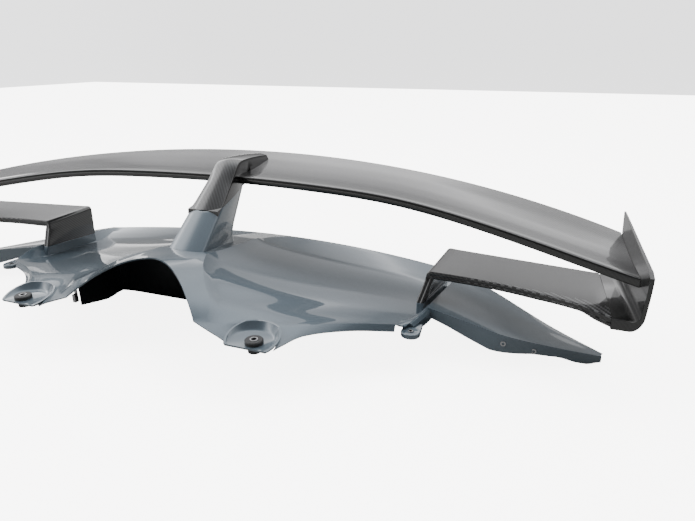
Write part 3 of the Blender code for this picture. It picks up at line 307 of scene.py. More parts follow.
PAINT = paint("blue-grey paint", (0.084, 0.113, 0.138))
TOP_CARBON = carbon("carbon, clear coat", dark=(0.006, 0.006, 0.006), light=(0.020, 0.020, 0.021),
                    strength=0.12)
LIP_CARBON = carbon("carbon, coarse tow", tow=0.0036, dark=(0.008, 0.008, 0.008), light=(0.10, 0.101,
                                                                                         0.104))
# A darker copy of the carbon, given to faces turned from the light: painted shade.
PAINTED_SHADE_CARBON = carbon("carbon, painted shade", dark=(0.003, 0.003, 0.003), light=(0.008, 0.008, 0.008),
                     strength=0.06)
MOULDING = grained("black moulding", (0.018, 0.020, 0.024), 0.45)
RUBBER = grained("black rubber", (0.022, 0.022, 0.023), 0.55, 700.0)
STEEL = grained("zinc steel", (0.42, 0.42, 0.43), 0.30, 300.0, 1.0, 0.05)
ALUMINIUM = grained("milled aluminium", (0.65, 0.65, 0.67), 0.35, 300.0, 1.0, 0.05)
FOAM = grained("foam", (0.58, 0.50, 0.36), 0.9, 600.0, 0.0, 0.4)


# ---- wing ---------------------------------------------------------------------------------
TAIL_HALF = 0.0015
TOP_LINE = [(0.0, 0.0060), (0.002, 0.0066), (0.008, 0.0069), (0.03, 0.0070), (0.12, 0.0055), (0.30, 0.0022),
            (0.50, 0.0004), (0.70, 0.0000), (0.88, 0.0008), (1.0, TAIL_HALF)]
BELLY_LINE = [(0.0, -0.0070), (0.002, -0.0082), (0.008, -0.0094), (0.03, -0.0114), (0.12, -0.0155),
              (0.30, -0.0190), (0.50, -0.0163), (0.70, -0.0105), (0.88, -0.0048), (1.0, -TAIL_HALF)]


def nose_of(x):
    """Y and Z of the wing's nose at x."""
    drop = 0.0616 * x ** 2 + 0.1622 * x ** 4 - 0.1279 * x ** 6
    drop -= 0.0042 * math.exp(-((abs(x) - 0.42) / 0.17) ** 2)
    return 0.076 - 0.17 * x ** 2, 0.281 - drop


def tail_of(x):
    """Y and Z of the wing's trailing edge at x."""
    drop = 0.0963 * x ** 2 + 0.0202 * x ** 4 + 0.0064 * x ** 6
    return 0.296 - 0.22 * x ** 2, 0.309 - drop


def wing_point(u, chordwise, lift):
    """A point of the wing: u is -1 to 1 across the span, chordwise 0 at the nose and 1 at the tail."""
    x = u * ENDPLATE_X
    for _ in range(4):
        nose = nose_of(x)
        tail = tail_of(x)
        y = nose[0] + (tail[0] - nose[0]) * chordwise
        x = u * (ENDPLATE_X - ENDPLATE_TOE * y - ENDPLATE_WALL - GAP)
    return (x, y, nose[1] + (tail[1] - nose[1]) * chordwise + lift)


def make_wing():
    """The wing's closed skin, with painted shade along the nose and underneath, and the bead along the nose.
    """
    stations = [-1 + 2 * i / 120 for i in range(121)]
    chord = [0.0, 0.0015, 0.003, 0.006, 0.010, 0.018, 0.03] + [0.03 + 0.97 * i / 26 for i in range(1, 27)]
    work = bmesh.new()
    loops = []
    for u in stations:
        loop = [wing_point(u, s, smooth(TOP_LINE, s)) for s in chord]
        loop += [wing_point(u, s, smooth(BELLY_LINE, s)) for s in reversed(chord)]
        loops.append(loop)
    skin(work, loops)
    wing = show("wing", work, TOP_CARBON, ("wing_upper_skin", "wing_lower_skin"), 40)
    # Faces underneath and on the nose take the darker carbon copy: painted shade.
    wing.data.materials.append(PAINTED_SHADE_CARBON)
    for polygon in wing.data.polygons:
        middle = polygon.center
        nose = nose_of(middle.x)
        if polygon.normal.z < -0.1 or (polygon.normal.y < -0.45 and middle.y - nose[0] < 0.02):
            polygon.material_index = 1
    work = bmesh.new()
    for lift, s in ((0.0068, 0.0135),):
        line = [wing_point(u, s, lift) for u in stations]
        loops = [[(x, y - 0.0008, z - 0.0006), (x, y, z + 0.0004), (x, y + 0.0008, z - 0.0006)] for x, y,
                 z in line]
        skin(work, loops)
    show("nose bead", work, TOP_CARBON)


# ---- pylon and cap ------------------------------------------------------------------------
PYLON_FOOT = (-0.118, 0.1665)
PYLON_LEAN = 1.26
PYLON_REAR_FOOT = (0.066, 0.155)
PYLON_REAR_LEAN = 0.55
SEAM_FRONT = (-0.030, 0.233)
SEAM_SLOPE = 0.19
PLINTH_SLOPE = -0.19


def pylon_front(z):
    """Y of the pylon's leaning front face at z."""
    return PYLON_FOOT[0] + PYLON_LEAN * (z - PYLON_FOOT[1])


def seam_height(y):
    """Height of the joint of pylon and cap at y."""
    return SEAM_FRONT[1] + SEAM_SLOPE * (y - SEAM_FRONT[0])


def plinth_height(y):
    """Height of the deck under the pylon at y."""
    return PYLON_FOOT[1] + PLINTH_SLOPE * (y - PYLON_FOOT[0])


def pylon_rear(z):
    """Y of the pylon's rear face at z, and half the width there."""
    above = z - PYLON_REAR_FOOT[1]
    return PYLON_REAR_FOOT[0] + PYLON_REAR_LEAN * above, 0.012 + 0.09 * max(above, 0.0)


def pylon_outline(z, grow=0.0):
    """A level cut through the pylon as (x, y): bulged front, flat sides that close in, rounded rear."""
    half = smooth([(0.10, 0.050), (0.165, 0.044), (0.233, 0.038), (0.311, 0.030), (0.34, 0.028)], z) + grow
    flare = smooth([(0.10, 0.030), (0.128, 0.016), (0.15, 0.004), (0.18, 0.0), (0.34, 0.0)], z)
    rear_y, rear_half = pylon_rear(z)
    rear_half += 0.4 * flare + grow
    front = pylon_front(z) - grow
    rear = rear_y + flare + grow
    right = []
    for i in range(13):
        a = i / 12
        right.append((half * a * 0.93, front + 0.013 * a ** 2))
    for i in range(1, 7):
        angle = math.pi / 2 * i / 6
        right.append((half * (0.93 + 0.07 * math.sin(angle)),
                      front + 0.013 + 0.007 * (1 - math.cos(angle)) + 0.0005 * i))
    start_y = front + 0.023
    for i in range(1, 12):
        t = i / 12
        width = half + (rear_half - half) * t + 0.003 * math.sin(math.pi * t)
        right.append((width, start_y + (rear - rear_half - start_y) * t))
    for i in range(13):
        angle = math.pi / 2 * i / 12
        right.append((rear_half * math.cos(angle), rear - rear_half + rear_half * math.sin(angle)))
    return right + [(-x, y) for x, y in reversed(right[1:-1])]


def on_plane(height_at, low, high):
    """The pylon's outline where it meets a sloping plane."""
    loop = []
    first = pylon_outline(low)
    second = pylon_outline(high)
    for (xa, ya), (xb, yb) in zip(first, second):
        t = 0.5
        for _ in range(12):
            y = ya + (yb - ya) * t
            t = min(max((height_at(y) - low) / (high - low), 0.0), 1.0)
        loop.append((xa + (xb - xa) * t, ya + (yb - ya) * t, low + (high - low) * t))
    return loop


def make_pylon():
    """The painted shell between the deck and the cap."""
    rows = 26
    bottom = []
    for (xa, ya), (xb, yb) in zip(pylon_outline(0.12), pylon_outline(0.17)):
        bottom.append((xa, ya, xb, yb))
    low = on_plane(lambda y: plinth_height(y) + 0.0002, 0.105, 0.185)
    high = on_plane(lambda y: seam_height(y) - 0.0004, 0.215, 0.262)
    work = bmesh.new()
    loops = []
    for k in range(rows + 1):
        t = k / rows
        loop = []
        for i, (a, b) in enumerate(zip(low, high)):
            z = a[2] + (b[2] - a[2]) * t
            x, y = pylon_outline(z)[i]
            loop.append((x, y, z))
        loops.append(loop)
    rim = [(x * 0.93, y + (0.02 - y) * 0.05, z - 0.0004) for x, y, z in loops[-1]]
    deep = [(x * 0.93, y + (0.02 - y) * 0.05, z - 0.010) for x, y, z in loops[-1]]
    skin(work, loops + [rim, deep], capped=False)
    show("pylon", work, PAINT, ("pylon_lower_shell",), 50)


def side_half(y):
    """Half the width of the cap's foot at y."""
    height = seam_height(y)
    start_y = pylon_front(height) + 0.020
    rear, rear_half = pylon_rear(height)
    t = min(max((y - start_y) / (rear - rear_half - start_y), 0.0), 1.0)
    return 0.038 + (rear_half - 0.038) * t + 0.003 * math.sin(math.pi * t)


def cap_top(y):
    """Height of the cap's crown at y."""
    front = PYLON_FOOT[1] + (y - PYLON_FOOT[0]) / PYLON_LEAN
    crest = 0.326 - 0.5 * max(y - 0.09, 0.0) ** 2
    soft = 0.006
    return -soft * math.log(math.exp(-front / soft) + math.exp(-crest / soft))


def cap_floor(y):
    """The cap's lower edge: the joint in front, the wing's top behind, the wing's belly between."""
    seam = seam_height(y) + 0.0004
    if y < 0.118:
        return seam
    return straight([(0.118, seam), (0.122, 0.266), (0.130, 0.272), (0.134, 0.287), (0.30, 0.300)], y)


def cap_cut(y):
    """An upright cut through the cap at y."""
    top = cap_top(y)
    half = smooth([(-0.05, 0.040), (0.0, 0.037), (0.06, 0.031), (0.12, 0.028), (0.24, 0.024)], y)
    crown = smooth([(-0.05, 0.0115), (0.03, 0.0115), (0.09, 0.004), (0.24, 0.003)], y)
    floor = min(cap_floor(y), top - 0.001)
    low_half = (half + 0.002) if y > 0.13 else side_half(y)
    right = [(half * 0.93 * i / 10, top - crown * (i / 10) ** 2) for i in range(11)]
    shoulder = top - crown
    drop = min(0.008, max(shoulder - floor, 0.0005) * 0.5)
    for i in range(1, 7):
        angle = math.pi / 2 * i / 6
        right.append((half * (0.93 + 0.07 * math.sin(angle)), shoulder - drop * (1 - math.cos(angle))))
    shoulder_x = right[-1][0]
    shoulder_z = right[-1][1]
    for i in range(1, 9):
        t = i / 8
        right.append((shoulder_x + (low_half - shoulder_x) * t, shoulder_z + (floor - shoulder_z) * t))
    return [(x, y, z) for x, z in right] + [(-x, y, z) for x, z in reversed(right[1:])]


def make_cap():
    """The cap that laps over the wing's nose."""
    stations = [-0.0335 + 0.0015 * i for i in range(20)] + [-0.003 + 0.005 * i for i in range(1, 19)]
    stations += [0.092, 0.098, 0.105, 0.112, 0.118, 0.122, 0.126, 0.130, 0.134, 0.15, 0.17, 0.19, 0.205,
                 0.218, 0.228]
    loops = [cap_cut(y) for y in stations]
    loops.append([(x, 0.236 - 0.55 * (z - 0.30), z) for x, _, z in cap_cut(0.232)])
    work = bmesh.new()
    skin(work, loops)
    cap = show("cap", work, TOP_CARBON, ("pylon_cap",), 45)
    # The cap's flanks take the darker carbon copy: painted shade.
    cap.data.materials.append(PAINTED_SHADE_CARBON)
    for polygon in cap.data.polygons:
        if abs(polygon.normal.x) > 0.75:
            polygon.material_index = 1
    bevel(cap, 0.0012, 2, 40)


# ---- base panel ---------------------------------------------------------------------------
ARCH_HALF = 0.147
ARCH_TOP = (-0.204, 0.180)
ARCH_FOOT = (-0.298, 0.112)
REAR_Y = 0.316
SPINE = [(0.169, -0.287, 0.110), (0.158, -0.255, 0.129), (0.128, -0.221, 0.145), (0.104, -0.192, 0.159),
         (0.083, -0.164, 0.165), (0.060, -0.118, 0.1665)]
SPINE_BACK = [(0.060, -0.118, 0.1665), (0.056, -0.04, 0.1517), (0.044, 0.04, 0.1365), (0.036, 0.11, 0.1232),
              (0.028, 0.21, 0.097), (0.024, REAR_Y, 0.070)]
DECK_OUTER = [(0.475, -0.134, 0.085), (0.486, -0.07, 0.070), (0.490, -0.03, 0.062), (0.502, 0.06, 0.052),
              (0.508, 0.152, 0.042), (0.510, 0.20, 0.046), (0.515, 0.250, 0.055)]
PANEL_INNER = [(0.492, -0.128, 0.081), (0.510, -0.07, 0.086), (0.516, -0.03, 0.087), (0.524, 0.06, 0.078),
               (0.530, 0.152, 0.066), (0.530, 0.20, 0.061), (0.530, 0.246, 0.055)]
FRONT_CREASE = [(0.169, -0.287, 0.110), (0.22, -0.262, 0.104), (0.30, -0.234, 0.100), (0.39, -0.174, 0.091),
                (0.475, -0.134, 0.085)]
FRONT_EDGE = [(ARCH_HALF, ARCH_FOOT[0], ARCH_FOOT[1]), (0.19, -0.303, 0.098), (0.225, -0.304, 0.085),
              (0.262, -0.302, 0.084), (0.300, -0.296, 0.083), (0.335, -0.235, 0.086), (0.40, -0.180, 0.080),
              (0.475, -0.142, 0.073)]
RIDGE = [(0.60, -0.066, 0.078), (0.669, -0.074, 0.067), (0.75, -0.045, 0.045), (0.843, 0.006, 0.015)]
RIDGE_SKIRT = [(0.510, 0.070), (0.56, 0.058), (0.60, 0.045), (0.645, 0.032), (0.72, 0.030), (0.77, 0.020),
               (0.80, 0.006), (0.82, 0.0), (0.87, 0.0)]
REAR_SKIRT = [(0.0, 0.045), (0.45, 0.030), (0.60, 0.020), (0.70, 0.003), (0.73, 0.0), (0.90, 0.0)]
FINE = 3
SPINE_STEPS = 8 * FINE
BACK_STEPS = 10 * FINE
ACROSS = 10 * FINE
STRIP_STEPS = 3 * FINE
PANEL_ACROSS = 9 * FINE
TAB = (0.267, -0.295)
TAB_Z = 0.090
CUP = 0.053
CUP_SHIFT = 0.007


def arch_edge(t):
    """The arch's edge: t is 0 on the centre line and 1 at the foot."""
    y = ARCH_TOP[0] + (ARCH_FOOT[0] - ARCH_TOP[0]) * t ** 1.5
    z = ARCH_TOP[1] + (ARCH_FOOT[1] - ARCH_TOP[1]) * t ** 2.3
    return Vector((ARCH_HALF * t, y, z))


def deck_grids():
    """Point grids of the +X half of the panel's top, edge to edge with one another."""
    inner = spline(SPINE, SPINE_STEPS + 1) + spline(SPINE_BACK, BACK_STEPS + 1)[1:]
    rows = len(inner)
    for point in inner[SPINE_STEPS:]:
        if point.y < 0.150:
            point.z = plinth_height(point.y)
    outer = spline(DECK_OUTER, rows)
    front = spline(FRONT_CREASE, ACROSS + 1)
    rear = [Vector((x, REAR_Y - 0.25 * x ** 2, 0.070 - 0.057 * x ** 2))
            for x in [0.024 + (0.515 - 0.024) * i / ACROSS for i in range(ACROSS + 1)]]
    rear[0] = inner[-1]
    rear[-1] = outer[-1]
    deck = coons(front, rear, inner, outer)
    for j, row in enumerate(deck):
        along = math.sin(math.pi * j / (rows - 1)) ** 0.8
        for i, point in enumerate(row):
            point.z -= 0.022 * along * math.sin(math.pi * (i / ACROSS) ** 0.55)
    panel_inner = spline(PANEL_INNER, rows)
    step = [[outer[j].lerp(panel_inner[j], w / 3) for w in range(4)] for j in range(rows)]
    begin = min(range(rows), key=lambda j: abs(panel_inner[j].y + 0.046))
    edge = panel_inner[begin:]
    ridge = spline([tuple(edge[0])] + RIDGE, PANEL_ACROSS + 1)
    tail = spline([tuple(edge[-1]), (0.625, 0.182, 0.043), (0.75, 0.108, 0.014), (0.850, 0.028, 0.010)],
                  PANEL_ACROSS + 1)
    tip = even([ridge[-1], tail[-1]], len(edge))
    outer_panel = coons(ridge, tail, edge, tip)
    centre = [Vector((0.06 * i / STRIP_STEPS, PYLON_FOOT[0],
                      PYLON_FOOT[1])) for i in range(STRIP_STEPS + 1)]
    crease = centre[:-1] + list(reversed(spline(SPINE, SPINE_STEPS + 1)))
    strip = []
    for k, point in enumerate(crease):
        if k < STRIP_STEPS:
            t = 0.34 * k / STRIP_STEPS
        else:
            t = 0.34 + 0.66 * (k - STRIP_STEPS) / SPINE_STEPS
        strip.append([arch_edge(t).lerp(point, w / STRIP_STEPS) for w in range(STRIP_STEPS + 1)])
    back = [[Vector((p.x * i / STRIP_STEPS, p.y,
                     p.z)) for i in range(STRIP_STEPS + 1)] for p in inner[SPINE_STEPS:]]
    lower = spline(FRONT_EDGE, ACROSS + 1)
    flange = [[lower[i].lerp(front[i],
                             w / STRIP_STEPS) for w in range(STRIP_STEPS + 1)] for i in range(ACROSS + 1)]
    return {"deck": deck, "step": step, "outer_panel": outer_panel, "strip": strip, "back": back,
            "flange": flange}


GRIDS = deck_grids()


CUP_X = TAB[0] - CUP_SHIFT


def cup_reach(z):
    """The radius, at height z, where the deck stops in the middle of the cup's wall."""
    return CUP - 0.0066 + max(z - TAB_Z, -0.004) * 0.60


def in_cup(point):
    """Whether a point of the deck is inside a tab's cup."""
    return math.hypot(abs(point.x) - CUP_X, point.y - TAB[1]) < cup_reach(point.z)


def fit_to_cup(work):
    """Opens the deck inside each cup and brings the edge of the opening into the cup's wall."""
    inside = [face for face in work.faces if all(in_cup(v.co) for v in face.verts)]
    bmesh.ops.delete(work, geom=inside, context="FACES")
    for vert in work.verts:
        if in_cup(vert.co):
            side = 1.0 if vert.co.x > 0 else -1.0
            across = vert.co.x - side * CUP_X
            along = vert.co.y - TAB[1]
            stretch = cup_reach(vert.co.z) / max(math.hypot(across, along), 0.001)
            vert.co.x = side * CUP_X + across * stretch
            vert.co.y = max(TAB[1] + along * stretch, -REAR_Y + 0.001)


def on_arch(vert):
    """Whether a vertex lies on the arch's edge."""
    if abs(vert.co.x) > ARCH_HALF + 1e-5:
        return False
    edge = arch_edge(abs(vert.co.x) / ARCH_HALF)
    return math.hypot(vert.co.y - edge.y, vert.co.z - edge.z) < 1e-4


def drop_skirt(work):
    """Turns the free edges down, but not along the arch, the front edge or the tips."""
    edges = []
    for edge in work.edges:
        if not edge.is_boundary:
            continue
        ends = edge.verts
        if all(on_arch(v) for v in ends) or max(abs(v.co.x) for v in ends) > 0.835:
            continue
        if all(v.co.y < -0.13 and abs(v.co.x) < 0.4751 for v in ends):
            continue
        if all(v.co.y < -0.046 and 0.474 < abs(v.co.x) < 0.513 for v in ends):
            continue
        edges.append(edge)
    made = bmesh.ops.extrude_edge_only(work, edges=edges)
    for item in made["geom"]:
        if isinstance(item, bmesh.types.BMVert):
            x = abs(item.co.x)
            in_front = item.co.y < 0.02 and x < 0.86
            table = RIDGE_SKIRT if in_front and x > 0.50 else REAR_SKIRT
            if in_front and x <= 0.50:
                item.co.z -= 0.012
            else:
                item.co.z = max(min(straight(table, x), item.co.z - 0.008), 0.0)


def make_base():
    """The painted panel, as one sheet with a wall, opened at the tabs' cups."""
    work = bmesh.new()
    for side in (1, -1):
        for grid in GRIDS.values():
            rows = [[work.verts.new((side * x, y, z)) for x, y, z in row] for row in grid]
            for first, second in zip(rows, rows[1:]):
                for i in range(len(first) - 1):
                    work.faces.new((first[i], first[i + 1], second[i + 1], second[i]))
    bmesh.ops.remove_doubles(work, verts=work.verts, dist=0.0001)
    drop_skirt(work)
    fit_to_cup(work)
    bmesh.ops.recalc_face_normals(work, faces=work.faces)
    if sum(face.normal.z * face.calc_area() for face in work.faces) < 0:
        bmesh.ops.reverse_faces(work, faces=work.faces)
    mesh = bpy.data.meshes.new("panel")
    work.to_mesh(mesh)
    work.free()
    mesh.shade_smooth()
    mesh.set_sharp_from_angle(angle=math.radians(30))
    mesh.materials.append(PAINT)
    mesh.materials.append(MOULDING)
    panel = bpy.data.objects.new("panel", mesh)
    bpy.context.scene.collection.objects.link(panel)
    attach(panel, "root")
    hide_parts("base_panel")
    wall = panel.modifiers.new("wall", "SOLIDIFY")
    wall.thickness = 0.003
    wall.offset = -1.0
    wall.use_even_offset = True
    wall.thickness_clamp = 1.2
    wall.material_offset = 1
    wall.material_offset_rim = 0
    bevel(panel, 0.0014, 2, 28)
    make_details()


def make_details():
    """Tab cups, lugs with their gussets, the feet under the legs and the toes."""
    for side in (1, -1):
        word = "right" if side > 0 else "left"
        work = bmesh.new()
        slope = 0.235
        profile = [(0.0118, TAB_Z), (CUP - 0.014, TAB_Z), (CUP - 0.011, TAB_Z + 0.0010)]
        for i in range(1, 7):
            profile.append((CUP - 0.011 + 0.0105 * i / 6, TAB_Z + 0.0010 + 0.0140 * (i / 6) ** 1.15))
        outer = [(CUP + 0.0030, TAB_Z + 0.0150), (CUP - 0.0085, TAB_Z - 0.0035), (0.0118, TAB_Z - 0.0035)]
        turned(work, (CUP_X, TAB[1]), profile + outer, 96, side)
        for vert in work.verts:
            if math.hypot(abs(vert.co.x) - CUP_X, vert.co.y - TAB[1]) < 0.0125:
                vert.co.x += side * CUP_SHIFT
        for plane_y, normal, level in ((-REAR_Y, (0, -1, 0), 0.0), (-0.245, (0, -slope, 1), 0.107)):
            geometry = work.verts[:] + work.edges[:] + work.faces[:]
            cut = bmesh.ops.bisect_plane(work, geom=geometry, plane_co=(0, plane_y, level), plane_no=normal,
                                         clear_outer=True)
            edges = [item for item in cut["geom_cut"] if isinstance(item, bmesh.types.BMEdge)]
            bmesh.ops.holes_fill(work, edges=edges)
        made = show("tab " + word, work, PAINT, (), 35)
        bevel(made, 0.0009, 2, 30)

        work = bmesh.new()
        x, y = 0.503, -0.130
        turned(work, (x, y), [(0.0055, 0.0738), (0.0085, 0.0745), (0.0172, 0.0745), (0.0182, 0.0735),
                              (0.0182, 0.0655),
                              (0.0055, 0.0655)], 64, side)
        neck = []
        for z in (0.0657, 0.0743):
            neck.append([(x - 0.0178, y + 0.004, z), (x - 0.012, y + 0.034, z), (x + 0.015, y + 0.034, z),
                         (x + 0.0178, y + 0.004, z), (x + 0.009, y + 0.0145, z), (x, y + 0.0170, z),
                         (x - 0.009, y + 0.0145, z)])
        skin(work, neck, side)
        loops = []
        for row in GRIDS["step"]:
            outer, inner = row[0], row[-1]
            if -0.118 < inner.y < -0.028:
                middle = outer.lerp(inner, 0.30)
                at = inner.y
                loops.append([(middle.x, at, 0.058), (inner.x + 0.010, at, 0.063), (inner.x + 0.009, at,
                                                                                    inner.z - 0.006),
                              (inner.x + 0.003, at, inner.z - 0.0006), (inner.x - 0.002, at,
                                                                        inner.z - 0.0008),
                              (middle.x, at, middle.z - 0.0016)])
        skin(work, loops, side)
        made = show("lug " + word, work, PAINT, (), 30)
        bevel(made, 0.0006, 2, 30)

        work = bmesh.new()
        loops = []
        for k in range(7):
            t = k / 6
            loops.append(stub_loop(t))
        skin(work, loops, side)
        made = show("leg foot " + word, work, PAINT, (), 30)
        bevel(made, 0.0012, 2, 40)

        work = bmesh.new()
        loops = []
        for x, front, rear, top_front, top_rear, low in ((0.796, -0.018, 0.067, 0.0285, 0.0100, 0.0060),
                                                         (0.822, -0.005, 0.046, 0.0205, 0.0085, 0.0),
                                                         (0.8465, 0.010, 0.027, 0.0120, 0.0080, 0.0)):
            loops.append([(x, front, low), (x, rear, low), (x, rear, top_rear), (x, front, top_front)])
        skin(work, loops, side)
        show("toe " + word, work, PAINT, (), 30)


def stub_loop(t):
    """A level cut through the painted foot of a winglet's leg."""
    front = (0.490 - 0.002 * t, -0.042 + 0.011 * t)
    rear = (0.510, 0.153 - 0.003 * t)
    low = 0.056 + (0.0866 - 0.056) * t
    high = 0.038 + (0.0666 - 0.038) * t
    outline = []
    for s, across in ((0.0, 0.002), (0.0, 0.013), (0.015, 0.015), (0.3, 0.0135), (0.6, 0.012), (0.97,
                                                                                                0.010),
                      (1.0, 0.007), (1.0, 0.001), (0.985, 0.0), (0.6, 0.0), (0.3, 0.0), (0.015, 0.0)):
        x = front[0] + (rear[0] - front[0]) * s + across
        y = front[1] + (rear[1] - front[1]) * s
        outline.append((x, y, low + (high - low) * s))
    return outline


# ---- winglets and endplates ---------------------------------------------------------------
WINGLET_Z = 0.146
WINGLET_FRONT = [(0.50, -0.004), (0.56, -0.010), (0.647, -0.024), (0.73, -0.046), (0.79, -0.067), (0.85,
                                                                                                   -0.085)]
WINGLET_REAR = [(0.51, 0.154), (0.85, 0.104)]
LIP_TOP = [(0.50, 0.1460), (0.647, 0.1480), (0.73, 0.1475), (0.79, 0.1465), (0.84, 0.1385)]
LIP_DEPTH = [(0.50, 0.0155), (0.70, 0.0145), (0.785, 0.0125), (0.815, 0.0190), (0.85, 0.0205)]
REAR_DEPTH = 0.004
TAPER = [(0.0, 1.0), (0.08, 1.0), (0.20, 0.72), (0.5, 0.45), (1.0, 0.0)]
CORNER = 0.010
COARSE_REACH = [(0.58, 0.0), (0.70, 0.010), (0.83, 0.034)]     # depth of the strip of coarse cloth
FOOT = 0.014


def seam_x(y):
    """X of the joint of winglet and endplate at y."""
    return 0.833 - 0.065 * y


def winglet_depth(x, s):
    """Thickness of the winglet at x and at chord s."""
    return REAR_DEPTH + (smooth(LIP_DEPTH, x) - REAR_DEPTH) * smooth(TAPER, s)


def plate_top(x, s):
    """Height of the winglet's top at x and at chord s."""
    return WINGLET_Z + (smooth(LIP_TOP, x) - WINGLET_Z) * (1 - s) ** 2


NOSE_TURNS = [(0.00, 0.0), (0.02, 0.4), (0.07, 0.75), (0.16, 0.95), (0.28, 1.0), (0.36, 0.95), (0.43, 0.60),
              (0.50, 0.55), (0.57, 0.60), (0.64, 0.95), (0.74, 1.0), (0.88, 0.75), (0.97, 0.35),
              (1.00, 0.0)]
CHORD = [0.012, 0.03, 0.05, 0.08, 0.12, 0.16, 0.2, 0.27, 0.35, 0.45, 0.55, 0.65, 0.75, 0.85, 0.93, 1.0]


def cut(place, depth_at):
    """A closed cut through plate or leg. place(s, depth) is the point at chord s, that deep under the face."""
    top = [place(s, 0.0) for s in CHORD]
    low = [place(s, depth_at(s)) for s in CHORD]
    nose = []
    for down, ahead in NOSE_TURNS:
        nose.append(place(CHORD[0] * (1 - ahead), depth_at(0.0) * down))
    return top[::-1] + nose[1:-1] + low


def plate_cut(k):
    """A cut through the flat part of the winglet: k is 0 at the corner and 1 at the joint."""
    def place(s, depth):
        start_x = 0.500 + 0.012 * s + CORNER + 0.016
        x = start_x
        for _ in range(3):
            y = smooth(WINGLET_FRONT, x) * (1 - s) + straight(WINGLET_REAR, x) * s
            x = start_x + (seam_x(y) - GAP / 2 - start_x) * k
        return (x, y, plate_top(x, s) - depth)
    x_mid = 0.526 + 0.31 * k
    return cut(place, lambda s: winglet_depth(x_mid, s))


def corner_cut(angle):
    """A cut through the round corner, at angle degrees."""
    a = math.radians(angle)

    def place(s, depth):
        x = 0.500 + 0.012 * s
        y = -0.004 * (1 - s) + 0.154 * s
        z = plate_top(x, s)
        outer = (x + CORNER * (1 - math.cos(a)), z - CORNER * (1 - math.sin(a)))
        full = winglet_depth(x, s)
        inner = (x + full + 0.002 * (1 - math.cos(a)), z - full - 0.002 * (1 - math.sin(a)))
        t = depth / full
        return (outer[0] + (inner[0] - outer[0]) * t, y, outer[1] + (inner[1] - outer[1]) * t)
    return cut(place, lambda s: winglet_depth(0.500 + 0.012 * s, s))


def leg_cut(t):
    """A cut through the leg: t is 0 at its foot and 1 at the corner."""
    def place(s, depth):
        front = (0.488 + 0.012 * t, -0.031 + 0.027 * t)
        rear = (0.510 + 0.002 * t, 0.150 + 0.004 * t)
        x = front[0] + (rear[0] - front[0]) * s
        y = front[1] + (rear[1] - front[1]) * s
        foot = 0.0872 - 0.020 * s
        return (x + depth, y, foot + (WINGLET_Z - CORNER - 0.004 - foot) * t)
    return cut(place, lambda s: winglet_depth(0.5, s))


def make_winglet(word, side):
    """A winglet with its leg, and the strip of coarse cloth behind its lip."""
    loops = [leg_cut(i / 10) for i in range(10)] + [corner_cut(a) for a in range(0, 91, 10)]
    loops += [plate_cut(i / 44) for i in range(45)]
    work = bmesh.new()
    skin(work, loops, side)
    made = show("winglet " + word, work, TOP_CARBON, ("winglet_" + word,), 50)
    made.data.materials.append(LIP_CARBON)
    for polygon in made.data.polygons:
        middle = polygon.center
        x = abs(middle.x)
        reach = straight(COARSE_REACH, x)
        if x > COARSE_REACH[0][0] and middle.y < smooth(WINGLET_FRONT, x) + reach and polygon.normal.z > 0.2:
            polygon.material_index = 1


PLATE_WALL = [(0.0, 0.0070), (0.25, 0.0062), (0.8, 0.0048), (1.0, 0.0040)]
PLATE_CHORD = [0.0, 0.02, 0.05, 0.09, 0.14, 0.2, 0.28, 0.37, 0.46, 0.56, 0.66, 0.76, 0.86, 0.94, 1.0]
FOOT_DEPTH = [(0.0, 0.0200), (0.08, 0.0200), (0.25, 0.0140), (0.6, 0.0080), (1.0, REAR_DEPTH)]


def endplate_cut(kind, value):
    """A cut through an endplate: its foot, its bend at value degrees, or its wall."""
    outer = []
    inner = []
    rise = value if kind == "wall" else 0.0
    bend = {"foot": 0.0, "bend": value / 90, "wall": 1.0}[kind]
    front_y = -0.085 - 0.012 * bend - 0.007 * math.sin(math.pi * 0.62 * rise) + 0.016 * max(rise - 0.9,
                                                                                            0.0) * 10
    rear_y = 0.104 + 0.004 * bend + 0.034 * rise
    for s in PLATE_CHORD:
        wall = smooth(PLATE_WALL, s)
        depth = smooth(FOOT_DEPTH, s)
        y = front_y + (rear_y - front_y) * s
        floor_z = 0.137 + 0.009 * min(s * 1.4, 1.0)
        centre_z = floor_z + FOOT
        if kind == "foot":
            x = seam_x(y) + GAP / 2
            outer.append((x, y, floor_z - depth))
            inner.append((x, y, floor_z))
        else:
            a = math.radians(value if kind == "bend" else 90)
            centre_x = ENDPLATE_X - ENDPLATE_TOE * y - ENDPLATE_WALL - FOOT
            top = 0.231 + 0.037 * s
            lift = (top - centre_z) * rise
            inner.append((centre_x + FOOT * math.sin(a), y, centre_z - FOOT * math.cos(a) + lift))
            outer.append((centre_x + (FOOT + wall) * math.sin(a), y,
                          centre_z - (FOOT + depth) * math.cos(a) + lift))
    return outer + inner[::-1]


def make_endplate(word, side):
    """An endplate with the foot that joins it to the winglet."""
    loops = [endplate_cut("foot", 0)] + [endplate_cut("bend", a) for a in range(0, 90, 9)]
    loops += [endplate_cut("wall", w) for w in [i / 24 for i in range(22)] + [0.9, 0.93, 0.96, 0.98, 1.0]]
    work = bmesh.new()
    skin(work, loops, side)
    # The whole endplate takes the darker carbon copy that paints shade on the wing and cap.
    made = show("endplate " + word, work, PAINTED_SHADE_CARBON, ("endplate_" + word,), 42)
    bevel(made, 0.0022, 4, 42)


# ---- everything else keeps its CAD shape --------------------------------------------------
def dress():
    """Materials for the pieces that keep their CAD shape."""
    looks = {"paint": PAINT, "carbon": TOP_CARBON, "inner": MOULDING, "rubber": RUBBER, "steel": STEEL,
             "aluminium": ALUMINIUM, "foam": FOAM}
    slots = {row["node"]: row["material_slot"] for row in frame["record"]["subparts"]}
    for name, made in frame["nodes"].items():
        if name in slots:
            made.data.materials.clear()
            made.data.materials.append(looks[slots[name]])
            if slots[name] in ("steel", "rubber"):
                bevel(made, 0.0004, 2, 40)


